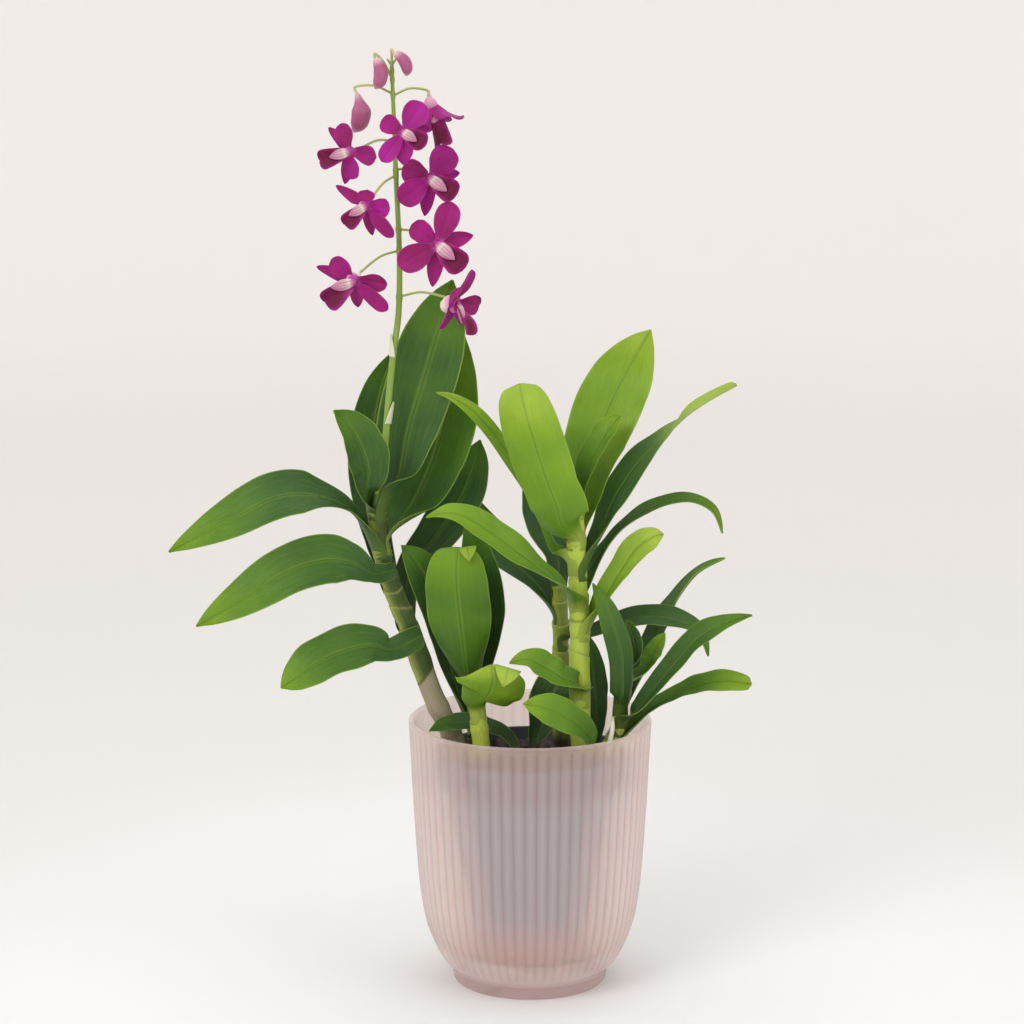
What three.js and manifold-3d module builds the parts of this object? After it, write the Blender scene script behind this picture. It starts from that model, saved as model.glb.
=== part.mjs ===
// Dendrobium orchid in its pot: canes, sheathing leaves, a flower spike with blooms and buds,
// a nursery pot of bark, and a ribbed frosted glass pot. Millimetres, +Z up, origin under the foot.
import * as THREE from 'three';
import { mergeVertices } from 'three/addons/utils/BufferGeometryUtils.js';
import Module from 'manifold-3d';

// ---- driving dimensions ----
const GAP = 0.3;

const RIB_COUNT = 64;
const RIB_DEPTH = 0.9;
const GLASS_WALL = 3.8;
const GLASS_FLOOR = 20;
const GLASS_HEIGHT = 155;
// Outside of the glass pot, foot to rim: [height, radius, share of the full rib depth].
const GLASS_OUTSIDE = [
  [0, 43.2, 0], [5.4, 44.5, 0], [7, 44.7, 0], [12, 49.8, 0.4], [22.6, 55.8, 1], [36, 60.6, 1],
  [58, 64.2, 1], [98, 67.1, 1], [150.5, 69.8, 1], [152.5, 70, 0], [GLASS_HEIGHT, 69.2, 0],
];
const GLASS_FLOOR_RADIUS = 40;
const GLASS_RIM_INSIDE = 66.4;
const GLASS_RIM_FLARE = 1.2;
const GLASS_RIM_ZONE = 10;
const CUT_OVER = 1;
const ROUND_SIDES = 28;

const NURSERY_RADIUS_LOW = 30;
const NURSERY_RADIUS_HIGH = 53;
const NURSERY_BOTTOM = GLASS_FLOOR + GAP;
const NURSERY_RIM = 136;
const NURSERY_WALL = 1.2;
const NURSERY_LIP = 1.5;
const NURSERY_LIP_HEIGHT = 18;

const BARK_TOP = 128;
const BARK_BOTTOM = NURSERY_BOTTOM + NURSERY_WALL + GAP;
const CHIP_COUNT = 12;
const CHIP_SIZE = 15;
const CHIP_TILT = 0.5;
const STEM_FOOT = 118;

const LEAF_THICK = 0.9;
const PETAL_THICK = 0.8;
const SHEATH_ROOM = 1.14;
const ROOTED_RADIUS = 2.6;
const ROOTED_HOLE_RADIUS = 4.8;

// Canes: the centre line from the bark up, with the radius at the foot, the middle and the top.
const CANES = {
  cane_a: {
    line: [[-40, 7, 118], [-43, 7, 136], [-47, 7, 147], [-57, 4, 170], [-69, 0, 207], [-79, -2, 233],
      [-85, -4, 257], [-87, -5, 279]],
    radii: [6.2, 5.6, 4.9], joints: 8,
  },
  cane_c: {
    line: [[31, -12, 118], [29, -12, 148], [28, -12, 192], [28, -12, 215], [26, -12, 256], [25, -12, 281]],
    radii: [5.6, 5.4, 4.6], joints: 9,
  },
  cane_d: {
    line: [[19, 25, 118], [18, 25, 159], [18, 27, 204], [17, 28, 226]],
    radii: [4.6, 4.6, 3.8], joints: 6,
  },
  cane_e: {
    line: [[41, -8, 118], [44, -8.5, 136], [51, -11, 156], [53, -10, 188]],
    radii: [4.4, 4.2, 3.2], joints: 6,
  },
  cane_f: { line: [[-26, -20, 118], [-28, -21, 146], [-31, -20, 168]], radii: [4.6, 4.6, 4.2], joints: 3 },
  cane_g: { line: [[-31, 17, 118], [-32, 16, 150], [-34, 14, 174]], radii: [4.6, 4.4, 3.6], joints: 4 },
};
const JOINT_SWELL = 0.45;
const CANE_SIDES = 8;

// Leaves: the midrib past the sheath, the full width, the way the upper face looks at the base, the
// middle and the tip, the cane it clasps and the height of the sheath there.
const UP_FRONT = [0, -0.78, 0.62];
const LEAVES = {
  leaf_a1: {
    cane: 'cane_a', height: 203, clasp: [-25, -85], claspHalf: 7.4, width: 29, cup: 0.3, neck: 0.74,
    midrib: [[-79, -13, 198], [-90, -17, 202], [-105, -21, 200], [-120, -25, 194], [-132, -28, 186],
      [-141, -30, 180]],
    facing: [[0, -0.8, 0.55], [-0.1, -0.8, 0.6], UP_FRONT],
  },
  leaf_a2: {
    cane: 'cane_a', height: 243, clasp: [-30, -88], claspHalf: 5.4, width: 31, cup: 0.25, neck: 0.58,
    midrib: [[-90, -14, 243], [-102, -18, 250], [-118, -23, 252], [-138, -28, 246], [-165, -34, 230],
      [-187, -40, 218]],
    facing: [[0, -0.85, 0.5], [-0.1, -0.85, 0.5], UP_FRONT],
  },
  leaf_a3: {
    cane: 'cane_a', height: 250, azimuth: -148, width: 31, cup: 0.3, neck: 0.45,
    midrib: [[-101, -12, 279], [-123, -15, 288], [-144, -18, 287], [-171, -23, 274], [-203, -28, 258]],
    facing: [[0.4, -0.4, 0.8], [-0.1, -0.8, 0.6], UP_FRONT],
  },
  leaf_a4: {
    cane: 'cane_a', height: 272, azimuth: -165, width: 28, cup: 0.6, base: 0.5,
    midrib: [[-92, -16, 291], [-91, -19, 303], [-94, -21, 315], [-99.5, -24, 327], [-109, -28, 338]],
    facing: [[0.4, -0.85, 0.35], [0.4, -0.8, 0.4], [0.3, -0.8, 0.4]],
  },
  leaf_a5: {
    cane: 'cane_a', height: 271, azimuth: -10, width: 43, cup: 0.3, base: 0.8,
    midrib: [[-74, 3, 297], [-69, 7, 322], [-60, 9, 352], [-51, 8, 382], [-44, 5, 407]],
    facing: [[-0.6, -0.8, 0.1], [-0.35, -0.9, 0.1], [-0.2, -0.9, 0.1]],
  },
  leaf_a6: {
    cane: 'cane_a', height: 252, azimuth: 45, width: 40, cup: 0.2, base: 0.9,
    midrib: [[-68, 16, 276], [-58, 20, 296], [-50, 22, 320], [-44, 24, 346], [-38, 22, 374]],
    facing: [[-0.5, -0.8, 0.2], [-0.3, -0.9, 0.1], [-0.3, -0.9, 0.1]],
  },
  leaf_a7: {
    cane: 'cane_a', height: 230, azimuth: 110, width: 26, cup: 0.3,
    midrib: [[-87, 17, 256], [-92, 25, 284], [-92, 30, 312], [-87, 32, 340], [-79, 30, 363]],
    facing: [[0, -0.95, 0.1], [0.2, -0.95, 0], [0.2, -0.95, 0]],
  },
  leaf_a8: {
    cane: 'cane_a', height: 206, azimuth: 85, width: 28, cup: 0.3,
    midrib: [[-69, 24, 236], [-54, 31, 256], [-41, 35, 275], [-33, 37, 294], [-29, 36, 311]],
    facing: [[-0.2, -0.9, 0.4], [-0.3, -0.9, 0.4], [-0.2, -0.9, 0.2]],
  },
  leaf_b1: {
    cane: 'cane_g', height: 140, azimuth: 165, width: 25, cup: 0.3,
    midrib: [[-46, 18, 180], [-49, 15, 203], [-55, 8, 226], [-64, 3, 244], [-73, 0, 256]],
    facing: [[0.5, -0.8, 0.3], [0.4, -0.9, 0.3], [0.3, -0.9, 0.3]],
  },
  leaf_c1: {
    cane: 'cane_c', height: 256, azimuth: -85, width: 34, cup: 0.45, base: 0.98, blunt: true,
    midrib: [[18, -26, 273], [15, -29, 284], [10, -31, 297], [5, -33, 312], [0, -33, 328], [-4, -31, 342],
      [-6, -28, 353]],
    facing: [[0.2, 0.95, 0.3], [0.1, 0.98, 0], [0, 1, -0.1]],
  },
  leaf_c2: {
    cane: 'cane_c', height: 215, azimuth: -100, width: 18, cup: 0.4, neck: 0.9,
    midrib: [[20, -29, 237], [5, -34, 250], [-13, -40, 265], [-29, -44, 277], [-44, -48, 284],
      [-58, -48, 282]],
    facing: [[0.4, -0.1, 0.9], [0.2, -0.8, 0.6], [0, -0.35, 0.9]],
  },
  leaf_c3: {
    cane: 'cane_c', height: 258, azimuth: 88, width: 40, cup: 0.25, base: 0.8,
    midrib: [[31, 0, 291], [37, 8, 314], [46, 12, 337], [57, 14, 358], [68, 12, 378]],
    facing: [[-0.4, -0.9, 0.2], [-0.35, -0.92, 0.1], [-0.3, -0.95, 0.1]],
  },
  leaf_c4: {
    cane: 'cane_c', height: 273.5, azimuth: 30, width: 17, cup: 0.7,
    midrib: [[29, -11, 292], [33, -11, 306], [39.5, -10, 318], [45, -8, 326], [51, -7, 332]],
    facing: [[-0.6, -0.7, 0.3], [-0.6, -0.7, 0.3], [-0.5, -0.8, 0.3]],
  },
  leaf_c5: {
    cane: 'cane_c', height: 238, azimuth: 5, width: 22, cup: 0.4, blunt: true,
    midrib: [[41, -4, 268], [47, 0, 282], [56, 4, 296], [65, 8, 307], [76, 12, 317], [88, 17, 328],
      [102, 22, 337], [118, 27, 345]],
    facing: [[-0.6, -0.6, 0.5], [-0.5, -0.7, 0.4], [-0.65, -0.35, 0.7], [-0.5, 0.35, 0.8], [-0.35, 0.4, 0.8]],
  },
  leaf_c6: {
    cane: 'cane_c', height: 226, azimuth: 75, width: 10, cup: 0.5,
    midrib: [[45, 4, 258], [57, 10, 269], [73, 16, 277], [91, 18, 280], [105, 16, 274], [111, 12, 261]],
    facing: [[-0.4, -0.5, 0.8], [-0.1, -0.45, 0.9], [0.6, -0.5, 0.6]],
  },
  leaf_c7: {
    cane: 'cane_c', height: 203, azimuth: -10, width: 17, cup: 0.4, base: 0.95,
    midrib: [[43, -12, 230], [51, -8, 243], [60, -4, 255], [69, -2, 261], [76, -1, 263]],
    facing: [[-0.6, -0.5, 0.7], [-0.4, -0.8, 0.4], [-0.3, -0.9, 0.3]],
  },
  leaf_c8: {
    cane: 'cane_c', height: 241.6, azimuth: 178, width: 9, cup: 0.4,
    midrib: [[13, -4, 257], [6, -6, 275], [-2, -7, 293], [-13, -8, 311], [-24, -8, 326], [-34, -7, 336],
      [-44, -5, 342], [-53, -3, 345]],
    facing: [[-0.6, -0.5, 0.6], [-0.5, -0.6, 0.6], [-0.2, -0.6, 0.7]],
  },
  leaf_c9: {
    cane: 'cane_c', height: 164, azimuth: -90, width: 18, cup: 0.4, base: 0.85,
    midrib: [[27, -24, 181], [18, -28, 186], [9, -30, 192], [-1, -31, 197], [-12, -31, 195]],
    facing: [[0.3, -0.4, 0.8], [0, -0.65, 0.75], [-0.1, -0.6, 0.8]],
  },
  leaf_d1: {
    cane: 'cane_d', height: 203, width: 25, cup: 0.3,
    midrib: [[4, 36, 226], [-13, 42, 241], [-29, 45, 258], [-42, 45, 272], [-52, 42, 286]],
    facing: [[0.3, -0.7, 0.7], [0.3, -0.75, 0.6], [0.3, -0.8, 0.5]],
  },
  leaf_d2: {
    cane: 'cane_d', height: 217, width: 24, cup: 0.3,
    midrib: [[16, 38, 242], [11, 44, 256], [5, 46, 272], [-2, 44, 290]],
    facing: [[0.1, -0.95, 0.3], [0.2, -0.95, 0.2], [0.2, -0.95, 0.2]],
  },
  leaf_e1: {
    cane: 'cane_e', height: 158, azimuth: -110, width: 15, cup: 0.4, base: 0.95,
    midrib: [[52, -20, 174], [52, -23, 186], [51, -25, 200], [47, -26, 214], [42, -24, 227],
      [35, -20, 238]],
    facing: [[-0.2, 0.95, 0.2], [-0.3, 0.9, 0], [-0.3, 0.9, -0.2]],
  },
  leaf_e2: {
    cane: 'cane_e', height: 180, azimuth: -40, width: 10, cup: 0.5,
    midrib: [[59, -13, 192], [60, -14, 199], [58, -13, 207], [55, -11, 215]],
    facing: [[-0.6, -0.8, 0.2], [-0.3, -0.9, 0.2], [0, -0.95, 0.2]],
  },
  leaf_e3: {
    cane: 'cane_d', height: 188, width: 16, cup: 0.5,
    midrib: [[37, 20, 201], [51, 16, 208], [68, 12, 212], [84, 8, 211], [97, 5, 205], [103, 2, 191]],
    facing: [[-0.4, -0.6, 0.7], [0, -0.6, 0.8], [0.6, -0.4, 0.6]],
  },
  leaf_e4: {
    cane: 'cane_e', height: 159, azimuth: 68, width: 18, cup: 0.5,
    midrib: [[64, 6, 181], [69, 13, 192], [75, 20, 204], [84, 26, 219], [97, 31, 234], [113, 32, 243]],
    facing: [[-0.7, -0.6, 0.4], [-0.7, -0.6, 0.4], [-0.75, -0.15, 0.6], [-0.5, -0.15, 0.8]],
  },
  leaf_e5: {
    cane: 'cane_e', height: 147.3, azimuth: -63, width: 17, cup: 0.5,
    midrib: [[62, -22, 167], [71, -28, 181], [82, -33, 196], [93, -37, 210], [107, -39, 219],
      [124, -37, 224]],
    facing: [[-0.6, -0.5, 0.6], [-0.5, -0.6, 0.6], [-0.3, -0.6, 0.7]],
  },
  leaf_e6: {
    cane: 'cane_e', height: 138.6, azimuth: 30, width: 14, cup: 0.4, blunt: true,
    midrib: [[67, -10, 162], [81, -12, 171], [95, -15, 178], [110, -17, 181], [126, -17, 179]],
    facing: [[-0.4, -0.6, 0.7], [-0.3, -0.35, 0.9], [0, -0.8, 0.6], [0, -0.85, 0.5]],
  },
  leaf_e7: {
    cane: 'cane_e', height: 170, azimuth: 25, width: 11, cup: 0.5,
    midrib: [[65, -5, 184], [69, -3, 191], [73, -1, 198], [77, 0, 205]],
    facing: [[-0.6, -0.7, 0.4], [-0.4, -0.8, 0.4], [-0.3, -0.9, 0.3]],
  },
  leaf_e8: {
    foot: [37, 8], azimuth: 90, width: 15, cup: 0.4,
    midrib: [[39, 9, 152], [38, 9, 168], [36, 9, 184], [35, 9, 200]],
    facing: [[0.2, -0.95, 0.1], [0.3, -0.9, 0.1], [0.3, -0.9, 0.1]],
  },
  leaf_f1: {
    cane: 'cane_g', height: 162, azimuth: -100, width: 37, cup: 0.3, blunt: 1,
    midrib: [[-37, -1, 187], [-39, -7, 206], [-41, -10, 224], [-42, -11, 241], [-41, -9, 257]],
    facing: [[0.05, 0.95, 0.2], [0, 0.98, 0], [0, 1, -0.1]],
  },
  leaf_f2: {
    cane: 'cane_g', height: 151, azimuth: 20, width: 25, cup: 0.3,
    midrib: [[-28, 18, 184], [-26, 16, 206], [-26, 13, 226], [-30, 9, 248], [-36, 5, 270]],
    facing: [[-0.2, -0.95, 0.1], [-0.3, -0.9, 0.1], [-0.1, -0.95, 0.1]],
  },
  leaf_f3: {
    cane: 'cane_f', height: 157, azimuth: -60, width: 42, cup: 0.3, base: 0.56,
    midrib: [[-28, -29, 172], [-25, -31, 176], [-22.5, -33, 181], [-21.5, -34.5, 187], [-22, -35.5, 195]],
    facing: [[-0.2, 0.9, 0.3], [-0.15, 0.95, 0.2], [-0.1, 0.98, 0.1]],
  },
  leaf_g1: {
    foot: [34, -26], azimuth: 190, width: 20, cup: 0.3,
    midrib: [[32, -34, 154], [22, -39, 164], [9, -42, 171], [-4, -42, 174]],
    facing: [[0.2, -0.7, 0.7], [-0.1, -0.8, 0.6], [-0.1, -0.8, 0.6]],
  },
  leaf_g2: {
    foot: [3, 4], width: 24, cup: 0.3, blunt: true,
    midrib: [[6, 6, 148], [10, 8, 160], [14, 10, 170], [19, 12, 177]],
    facing: [[0, -0.98, 0.2], [0, -0.98, 0.2], [0, -0.98, 0.2]],
  },
  leaf_h: {
    foot: [-8, -8], width: 13, cup: 0.4,
    midrib: [[-14, -5, 146], [-26, -3, 151], [-37, -2, 153], [-48, -4, 152], [-58, -6, 149]],
    facing: [[0, -0.6, 0.8], [0, -0.65, 0.75], [0, -0.7, 0.7]],
  },
};

// Half-width along a blade, base to tip, as [share of the length, share of the half-width].
const POINTED_PROFILE = [
  [0, 0.66], [0.2, 0.86], [0.42, 1], [0.62, 0.95], [0.8, 0.68], [0.92, 0.36], [1, 0.05],
];
const BLUNT_PROFILE = [[0, 0.6], [0.2, 0.85], [0.42, 1], [0.65, 0.98], [0.84, 0.86], [0.94, 0.68], [1, 0.3]];
const BLADE_STATIONS = 6;
const NARROW_WIDTH = 22;

// The flower stalk, its two papery bracts, and the stalklet of each bloom and bud.
const SPIKE_LINE = [
  [-87, -5, 280.3], [-85, -3, 300], [-82, -1, 317], [-80, 0, 340], [-77, 0, 368], [-74, 0, 391],
  [-73.5, 0, 425], [-75, 0, 464], [-76, 0, 497], [-77, 0, 529],
];
const SPIKE_STEPS = 15;
const SPIKE_SIDES = 7;
const SPIKE_RADII = [2.3, 1.8, 1.0];
// Bracts: the share of the stalk below each, and the side it is on.
const BRACTS = [[0.27, 1], [0.43, -1]];
const BRACT_LENGTH = 13;

// Blooms: the centre, the way the face looks, the way its top points, the size, the height of its
// stalklet on the stalk and, on a half-open bloom, how far the tips close forward.
const BLOOMS = {
  bloom_1: {
    centre: [-99.5, -8, 480], face: [-0.5, -0.85, -0.1], top: [0.97, 0, 0.26], size: 0.95, stalk: 485,
    tepals: [[26, 14.5, 12], [108, 15, 12], [-98, 15.5, 13],
      [126, 20, 9.5], [-128, 19.5, 8], [178, 15, 13.5]],
  },
  bloom_2: {
    centre: [-70, -19, 491], face: [0.05, -0.98, 0.15], top: [-0.77, 0, 0.64], size: 0.95, stalk: 492,
    tepals: [[-10, 13, 11.5], [83, 19, 15.5], [-92, 19.4, 11],
      [130, 14, 8], [-130, 17, 12], [174, 13.5, 14]],
  },
  bloom_3: {
    centre: [-54.5, 8, 504], face: [0.35, -0.1, -0.93], top: [0.3, 1, 0], size: 1, stalk: 510,
    closing: 12,
  },
  bloom_4: {
    centre: [-56, -3, 465], face: [0.15, -0.98, 0], top: [-0.77, 0, 0.64], size: 1.1, stalk: 469,
    tepals: [[-20, 13, 12.5], [87, 17, 15], [-78, 18, 13.5], [132, 14, 8], [-123, 18, 8], [174, 13, 14]],
  },
  bloom_5: {
    centre: [-91, -19, 451], face: [-0.2, -0.95, -0.2], top: [0.9, 0, 0.42], size: 0.9, stalk: 466,
    tepals: [[34, 13, 13], [75, 24, 9.5], [-60, 8, 11], [107, 18.5, 8], [-126, 20.5, 8], [163, 13.5, 13]],
  },
  bloom_6: {
    centre: [-51.5, -16, 429], face: [0.1, -0.99, 0.05], top: [-0.73, 0, 0.68], size: 1.2, stalk: 436,
    tepals: [[-5, 13.5, 10.5], [66, 19, 12], [-71, 19, 13], [123, 15.5, 8], [-126, 18, 8], [181, 14, 14]],
  },
  bloom_7: {
    centre: [-98, -12, 409], face: [-0.3, -0.88, -0.35], top: [1, 0, 0.1], size: 1.1, stalk: 424,
    tepals: [[8, 15, 10], [47, 21, 9.5], [-135, 14, 12], [95, 15.5, 8], [-167, 20, 8], [148, 14.5, 14]],
  },
  bloom_8: {
    centre: [-42, -8, 396], face: [0.75, -0.6, -0.28], top: [0.38, 0, 0.92], size: 1, stalk: 398,
    closing: 6, spur: 1.6,
    tepals: [[-5, 20, 9], [80, 15, 12], [-70, 15, 13], [140, 14, 8], [-150, 18, 8], [180, 13, 13]],
  },
};
const BUDS = {
  bud_1: { centre: [-86, -6, 522.5], along: [0, 0, -1], length: 17, bend: 0.13, stalk: 519 },
  bud_2: { centre: [-72.2, -4, 527.3], along: [0.56, 0, -1], length: 14.5, bend: 0.15, stalk: 524 },
  bud_3: { centre: [-98, 6, 501], along: [-0.05, 0, -1], length: 23, bend: 0.1, stalk: 511 },
};
const OVARY_LENGTH = 7;
const STALKLET_GAP = 0.4;
const STALKLET_RADIUS = 0.8;
const STALKLET_STRAIGHT = 3;
const STALKLET_RISE = 2.5;

// The white root that comes down beside the right-hand shoots.
const ROOT_LINE = [[41, -21, 119], [43.5, -21.5, 138], [46.5, -20, 152], [47, -17.5, 160]];
const ROOT_RADIUS = 1.3;

// ---- small tools ----
const wasm = await Module();
wasm.setup();

const vec = (list) => new THREE.Vector3(...list);
const mix = (from, to, share) => from + (to - from) * share;
let seed = 7;
function chance() {
  seed = (seed * 16807) % 2147483647;
  return seed / 2147483647;
}

// A point on the smooth curve through a list of vectors, at the given place counted in list steps.
function along(list, place) {
  const index = Math.min(Math.floor(place), list.length - 2);
  const u = place - index;
  const p1 = list[index];
  const p2 = list[index + 1];
  const p0 = index > 0 ? list[index - 1] : p1.clone().multiplyScalar(2).sub(p2);
  const p3 = index < list.length - 2 ? list[index + 2] : p2.clone().multiplyScalar(2).sub(p1);
  const slopeIn = p2.clone().sub(p0).multiplyScalar(0.5);
  const slopeOut = p3.clone().sub(p1).multiplyScalar(0.5);
  return p1.clone().multiplyScalar(2 * u ** 3 - 3 * u ** 2 + 1)
    .addScaledVector(slopeIn, u ** 3 - 2 * u ** 2 + u)
    .addScaledVector(p2, 3 * u ** 2 - 2 * u ** 3)
    .addScaledVector(slopeOut, u ** 3 - u ** 2);
}

// A value from a list of [place, value] pairs, straight between them.
function lookUp(pairs, place) {
  const last = pairs.length - 1;
  const next = Math.min(Math.max(pairs.findIndex((pair) => pair[0] > place), 1), last);
  const index = place >= pairs[last][0] ? last : next;
  const [fromPlace, fromValue] = pairs[index - 1];
  const [toPlace, toValue] = pairs[index];
  return mix(fromValue, toValue, Math.min((place - fromPlace) / (toPlace - fromPlace), 1));
}

// A closed solid from rings of points that all have the same count, with flat ends.
function loft(rings) {
  const count = rings[0].length;
  const points = rings.flat();
  const faces = [];
  for (let ring = 0; ring < rings.length - 1; ring += 1) {
    for (let k = 0; k < count; k += 1) {
      const a = ring * count + k;
      const b = ring * count + ((k + 1) % count);
      faces.push(a, b, b + count, a, b + count, a + count);
    }
  }
  const firstCentre = points.length;
  const middle = (ring) => ring.reduce((sum, p) => sum.add(p), vec([0, 0, 0])).divideScalar(count);
  points.push(middle(rings[0]), middle(rings[rings.length - 1]));
  const lastRing = (rings.length - 1) * count;
  for (let k = 0; k < count; k += 1) {
    const next = (k + 1) % count;
    faces.push(firstCentre, next, k);
    faces.push(firstCentre + 1, lastRing + k, lastRing + next);
  }
  return shape(points, faces);
}

function shape(points, faces) {
  const geometry = new THREE.BufferGeometry();
  const numbers = points.flatMap((p) => [p.x, p.y, p.z]);
  geometry.setAttribute('position', new THREE.Float32BufferAttribute(numbers, 3));
  geometry.setIndex(faces);
  return geometry;
}

function toSolid(geometry) {
  const bare = geometry.clone();
  bare.deleteAttribute('normal');
  bare.deleteAttribute('uv');
  const merged = mergeVertices(bare, 1e-3);
  return new wasm.Manifold(new wasm.Mesh({
    numProp: 3,
    vertProperties: new Float32Array(merged.getAttribute('position').array),
    triVerts: new Uint32Array(merged.index.array),
  }));
}

function toGeometry(solid) {
  const mesh = solid.getMesh();
  const geometry = new THREE.BufferGeometry();
  geometry.setAttribute('position', new THREE.Float32BufferAttribute(mesh.vertProperties, 3));
  geometry.setIndex([...mesh.triVerts]);
  return geometry;
}

function fuse(geometries) {
  return toGeometry(geometries.map(toSolid).reduce((whole, next) => whole.add(next)));
}

// A turned solid from [radius, height] pairs, from the middle of the bottom to the middle of the top.
function lathe(pairs, sides) {
  return new THREE.LatheGeometry(pairs.map(([radius, height]) => new THREE.Vector2(radius, height)), sides)
    .rotateX(Math.PI / 2);
}

// A round stem along a smooth centre line, with its radius given by the share of its length.
function tube(line, radiusAt, steps, sides) {
  const list = line.map(vec);
  const rings = [];
  let side = vec([1, 0, 0]);
  for (let step = 0; step <= steps; step += 1) {
    const share = step / steps;
    const place = share * (list.length - 1);
    const centre = along(list, place);
    const direction = directionAt(list, place);
    side = side.clone().addScaledVector(direction, -side.dot(direction)).normalize();
    const other = direction.clone().cross(side);
    const radius = radiusAt(share);
    rings.push(Array.from({ length: sides }, (_, k) => {
      const turn = (k / sides) * 2 * Math.PI;
      return centre.clone().addScaledVector(side, radius * Math.cos(turn))
        .addScaledVector(other, radius * Math.sin(turn));
    }));
  }
  return loft(rings);
}

// A thin blade: at each station a cross-section arc of the given half-width and half-angle, with its
// middle on the midrib and its hollow side towards the facing. Both faces are split alike.
function blade(stations, columns, thick) {
  const upper = [];
  const lower = [];
  for (const { centre, direction, facing, half, bend } of stations) {
    const side = direction.clone().cross(facing).normalize();
    const normal = side.clone().cross(direction).normalize();
    for (let column = 0; column <= columns; column += 1) {
      const turn = bend * ((2 * column) / columns - 1);
      const radius = half / bend;
      const point = centre.clone().addScaledVector(side, radius * Math.sin(turn))
        .addScaledVector(normal, radius * (1 - Math.cos(turn)));
      const out = side.clone().multiplyScalar(Math.sin(turn)).addScaledVector(normal, -Math.cos(turn));
      upper.push(point);
      lower.push(point.clone().addScaledVector(out, thick));
    }
  }
  const row = columns + 1;
  const total = upper.length;
  const faces = [];
  const quad = (a, b, c, d) => faces.push(a, b, c, a, c, d);
  for (let station = 0; station < stations.length - 1; station += 1) {
    for (let column = 0; column < columns; column += 1) {
      const a = station * row + column;
      quad(a, a + 1, a + row + 1, a + row);
      quad(total + a, total + a + row, total + a + row + 1, total + a + 1);
    }
    const left = station * row;
    const right = left + columns;
    quad(left, left + row, total + left + row, total + left);
    quad(right, total + right, total + right + row, right + row);
  }
  const end = (stations.length - 1) * row;
  for (let column = 0; column < columns; column += 1) {
    quad(column, total + column, total + column + 1, column + 1);
    quad(end + column, end + column + 1, total + end + column + 1, total + end + column);
  }
  return shape([...upper, ...lower], faces);
}

// ---- glass pot ----
function ribbedRing([height, radius, ribShare]) {
  const count = RIB_COUNT * 2;
  return Array.from({ length: count }, (_, k) => {
    const turn = (k / count) * 2 * Math.PI;
    const depth = k % 2 ? RIB_DEPTH * ribShare : 0;
    return vec([(radius - depth) * Math.cos(turn), (radius - depth) * Math.sin(turn), height]);
  });
}

function glassPot() {
  const outside = loft(GLASS_OUTSIDE.map(ribbedRing));
  const zone = GLASS_HEIGHT - GLASS_RIM_ZONE;
  const wall = GLASS_OUTSIDE.filter(([height]) => height > GLASS_FLOOR && height < zone)
    .map(([height, radius]) => [radius - GLASS_WALL, height + 1]);
  const top = GLASS_HEIGHT + CUT_OVER;
  const inside = lathe([
    [0, GLASS_FLOOR], [GLASS_FLOOR_RADIUS, GLASS_FLOOR], ...wall,
    [GLASS_RIM_INSIDE, GLASS_HEIGHT - 2], [GLASS_RIM_INSIDE + GLASS_RIM_FLARE, top], [0, top],
  ], ROUND_SIDES);
  return toGeometry(toSolid(outside).subtract(toSolid(inside)));
}

// ---- nursery pot and bark ----
const nurseryRadiusAt = (height) => mix(NURSERY_RADIUS_LOW, NURSERY_RADIUS_HIGH,
  (height - NURSERY_BOTTOM) / (NURSERY_RIM - NURSERY_BOTTOM));

function nurseryPot() {
  const lipRadius = NURSERY_RADIUS_HIGH + NURSERY_LIP;
  const lipBottom = NURSERY_RIM - NURSERY_LIP_HEIGHT;
  const floorTop = NURSERY_BOTTOM + NURSERY_WALL;
  return lathe([
    [0, NURSERY_BOTTOM], [NURSERY_RADIUS_LOW, NURSERY_BOTTOM], [nurseryRadiusAt(lipBottom), lipBottom],
    [lipRadius, lipBottom], [lipRadius, NURSERY_RIM], [NURSERY_RADIUS_HIGH - NURSERY_WALL, NURSERY_RIM],
    [nurseryRadiusAt(floorTop) - NURSERY_WALL, floorTop], [0, floorTop],
  ], ROUND_SIDES);
}

// One bark chip: a flat box with its corners pushed about, lying tilted in the top of the bark.
function chip() {
  const turn = chance() * 2 * Math.PI;
  const reach = Math.sqrt(chance()) * (nurseryRadiusAt(BARK_TOP) - NURSERY_WALL - CHIP_SIZE * 0.8);
  const box = new THREE.BoxGeometry(CHIP_SIZE * mix(0.7, 1.2, chance()), CHIP_SIZE * 0.6, CHIP_SIZE * 0.4);
  box.rotateX(mix(-CHIP_TILT, CHIP_TILT, chance()));
  box.rotateY(mix(-CHIP_TILT, CHIP_TILT, chance()));
  box.rotateZ(chance() * Math.PI);
  box.translate(reach * Math.cos(turn), reach * Math.sin(turn), BARK_TOP + mix(0, 1.6, chance()));
  return box;
}

// The plain hole that a leaf's own stem stands in.
function rootedHole([x, y]) {
  const bottom = STEM_FOOT - 1;
  const top = BARK_TOP + CHIP_SIZE;
  return lathe([[0, bottom], [ROOTED_HOLE_RADIUS, bottom], [ROOTED_HOLE_RADIUS, top], [0, top]], 10)
    .translate(x, y, 0);
}

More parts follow.
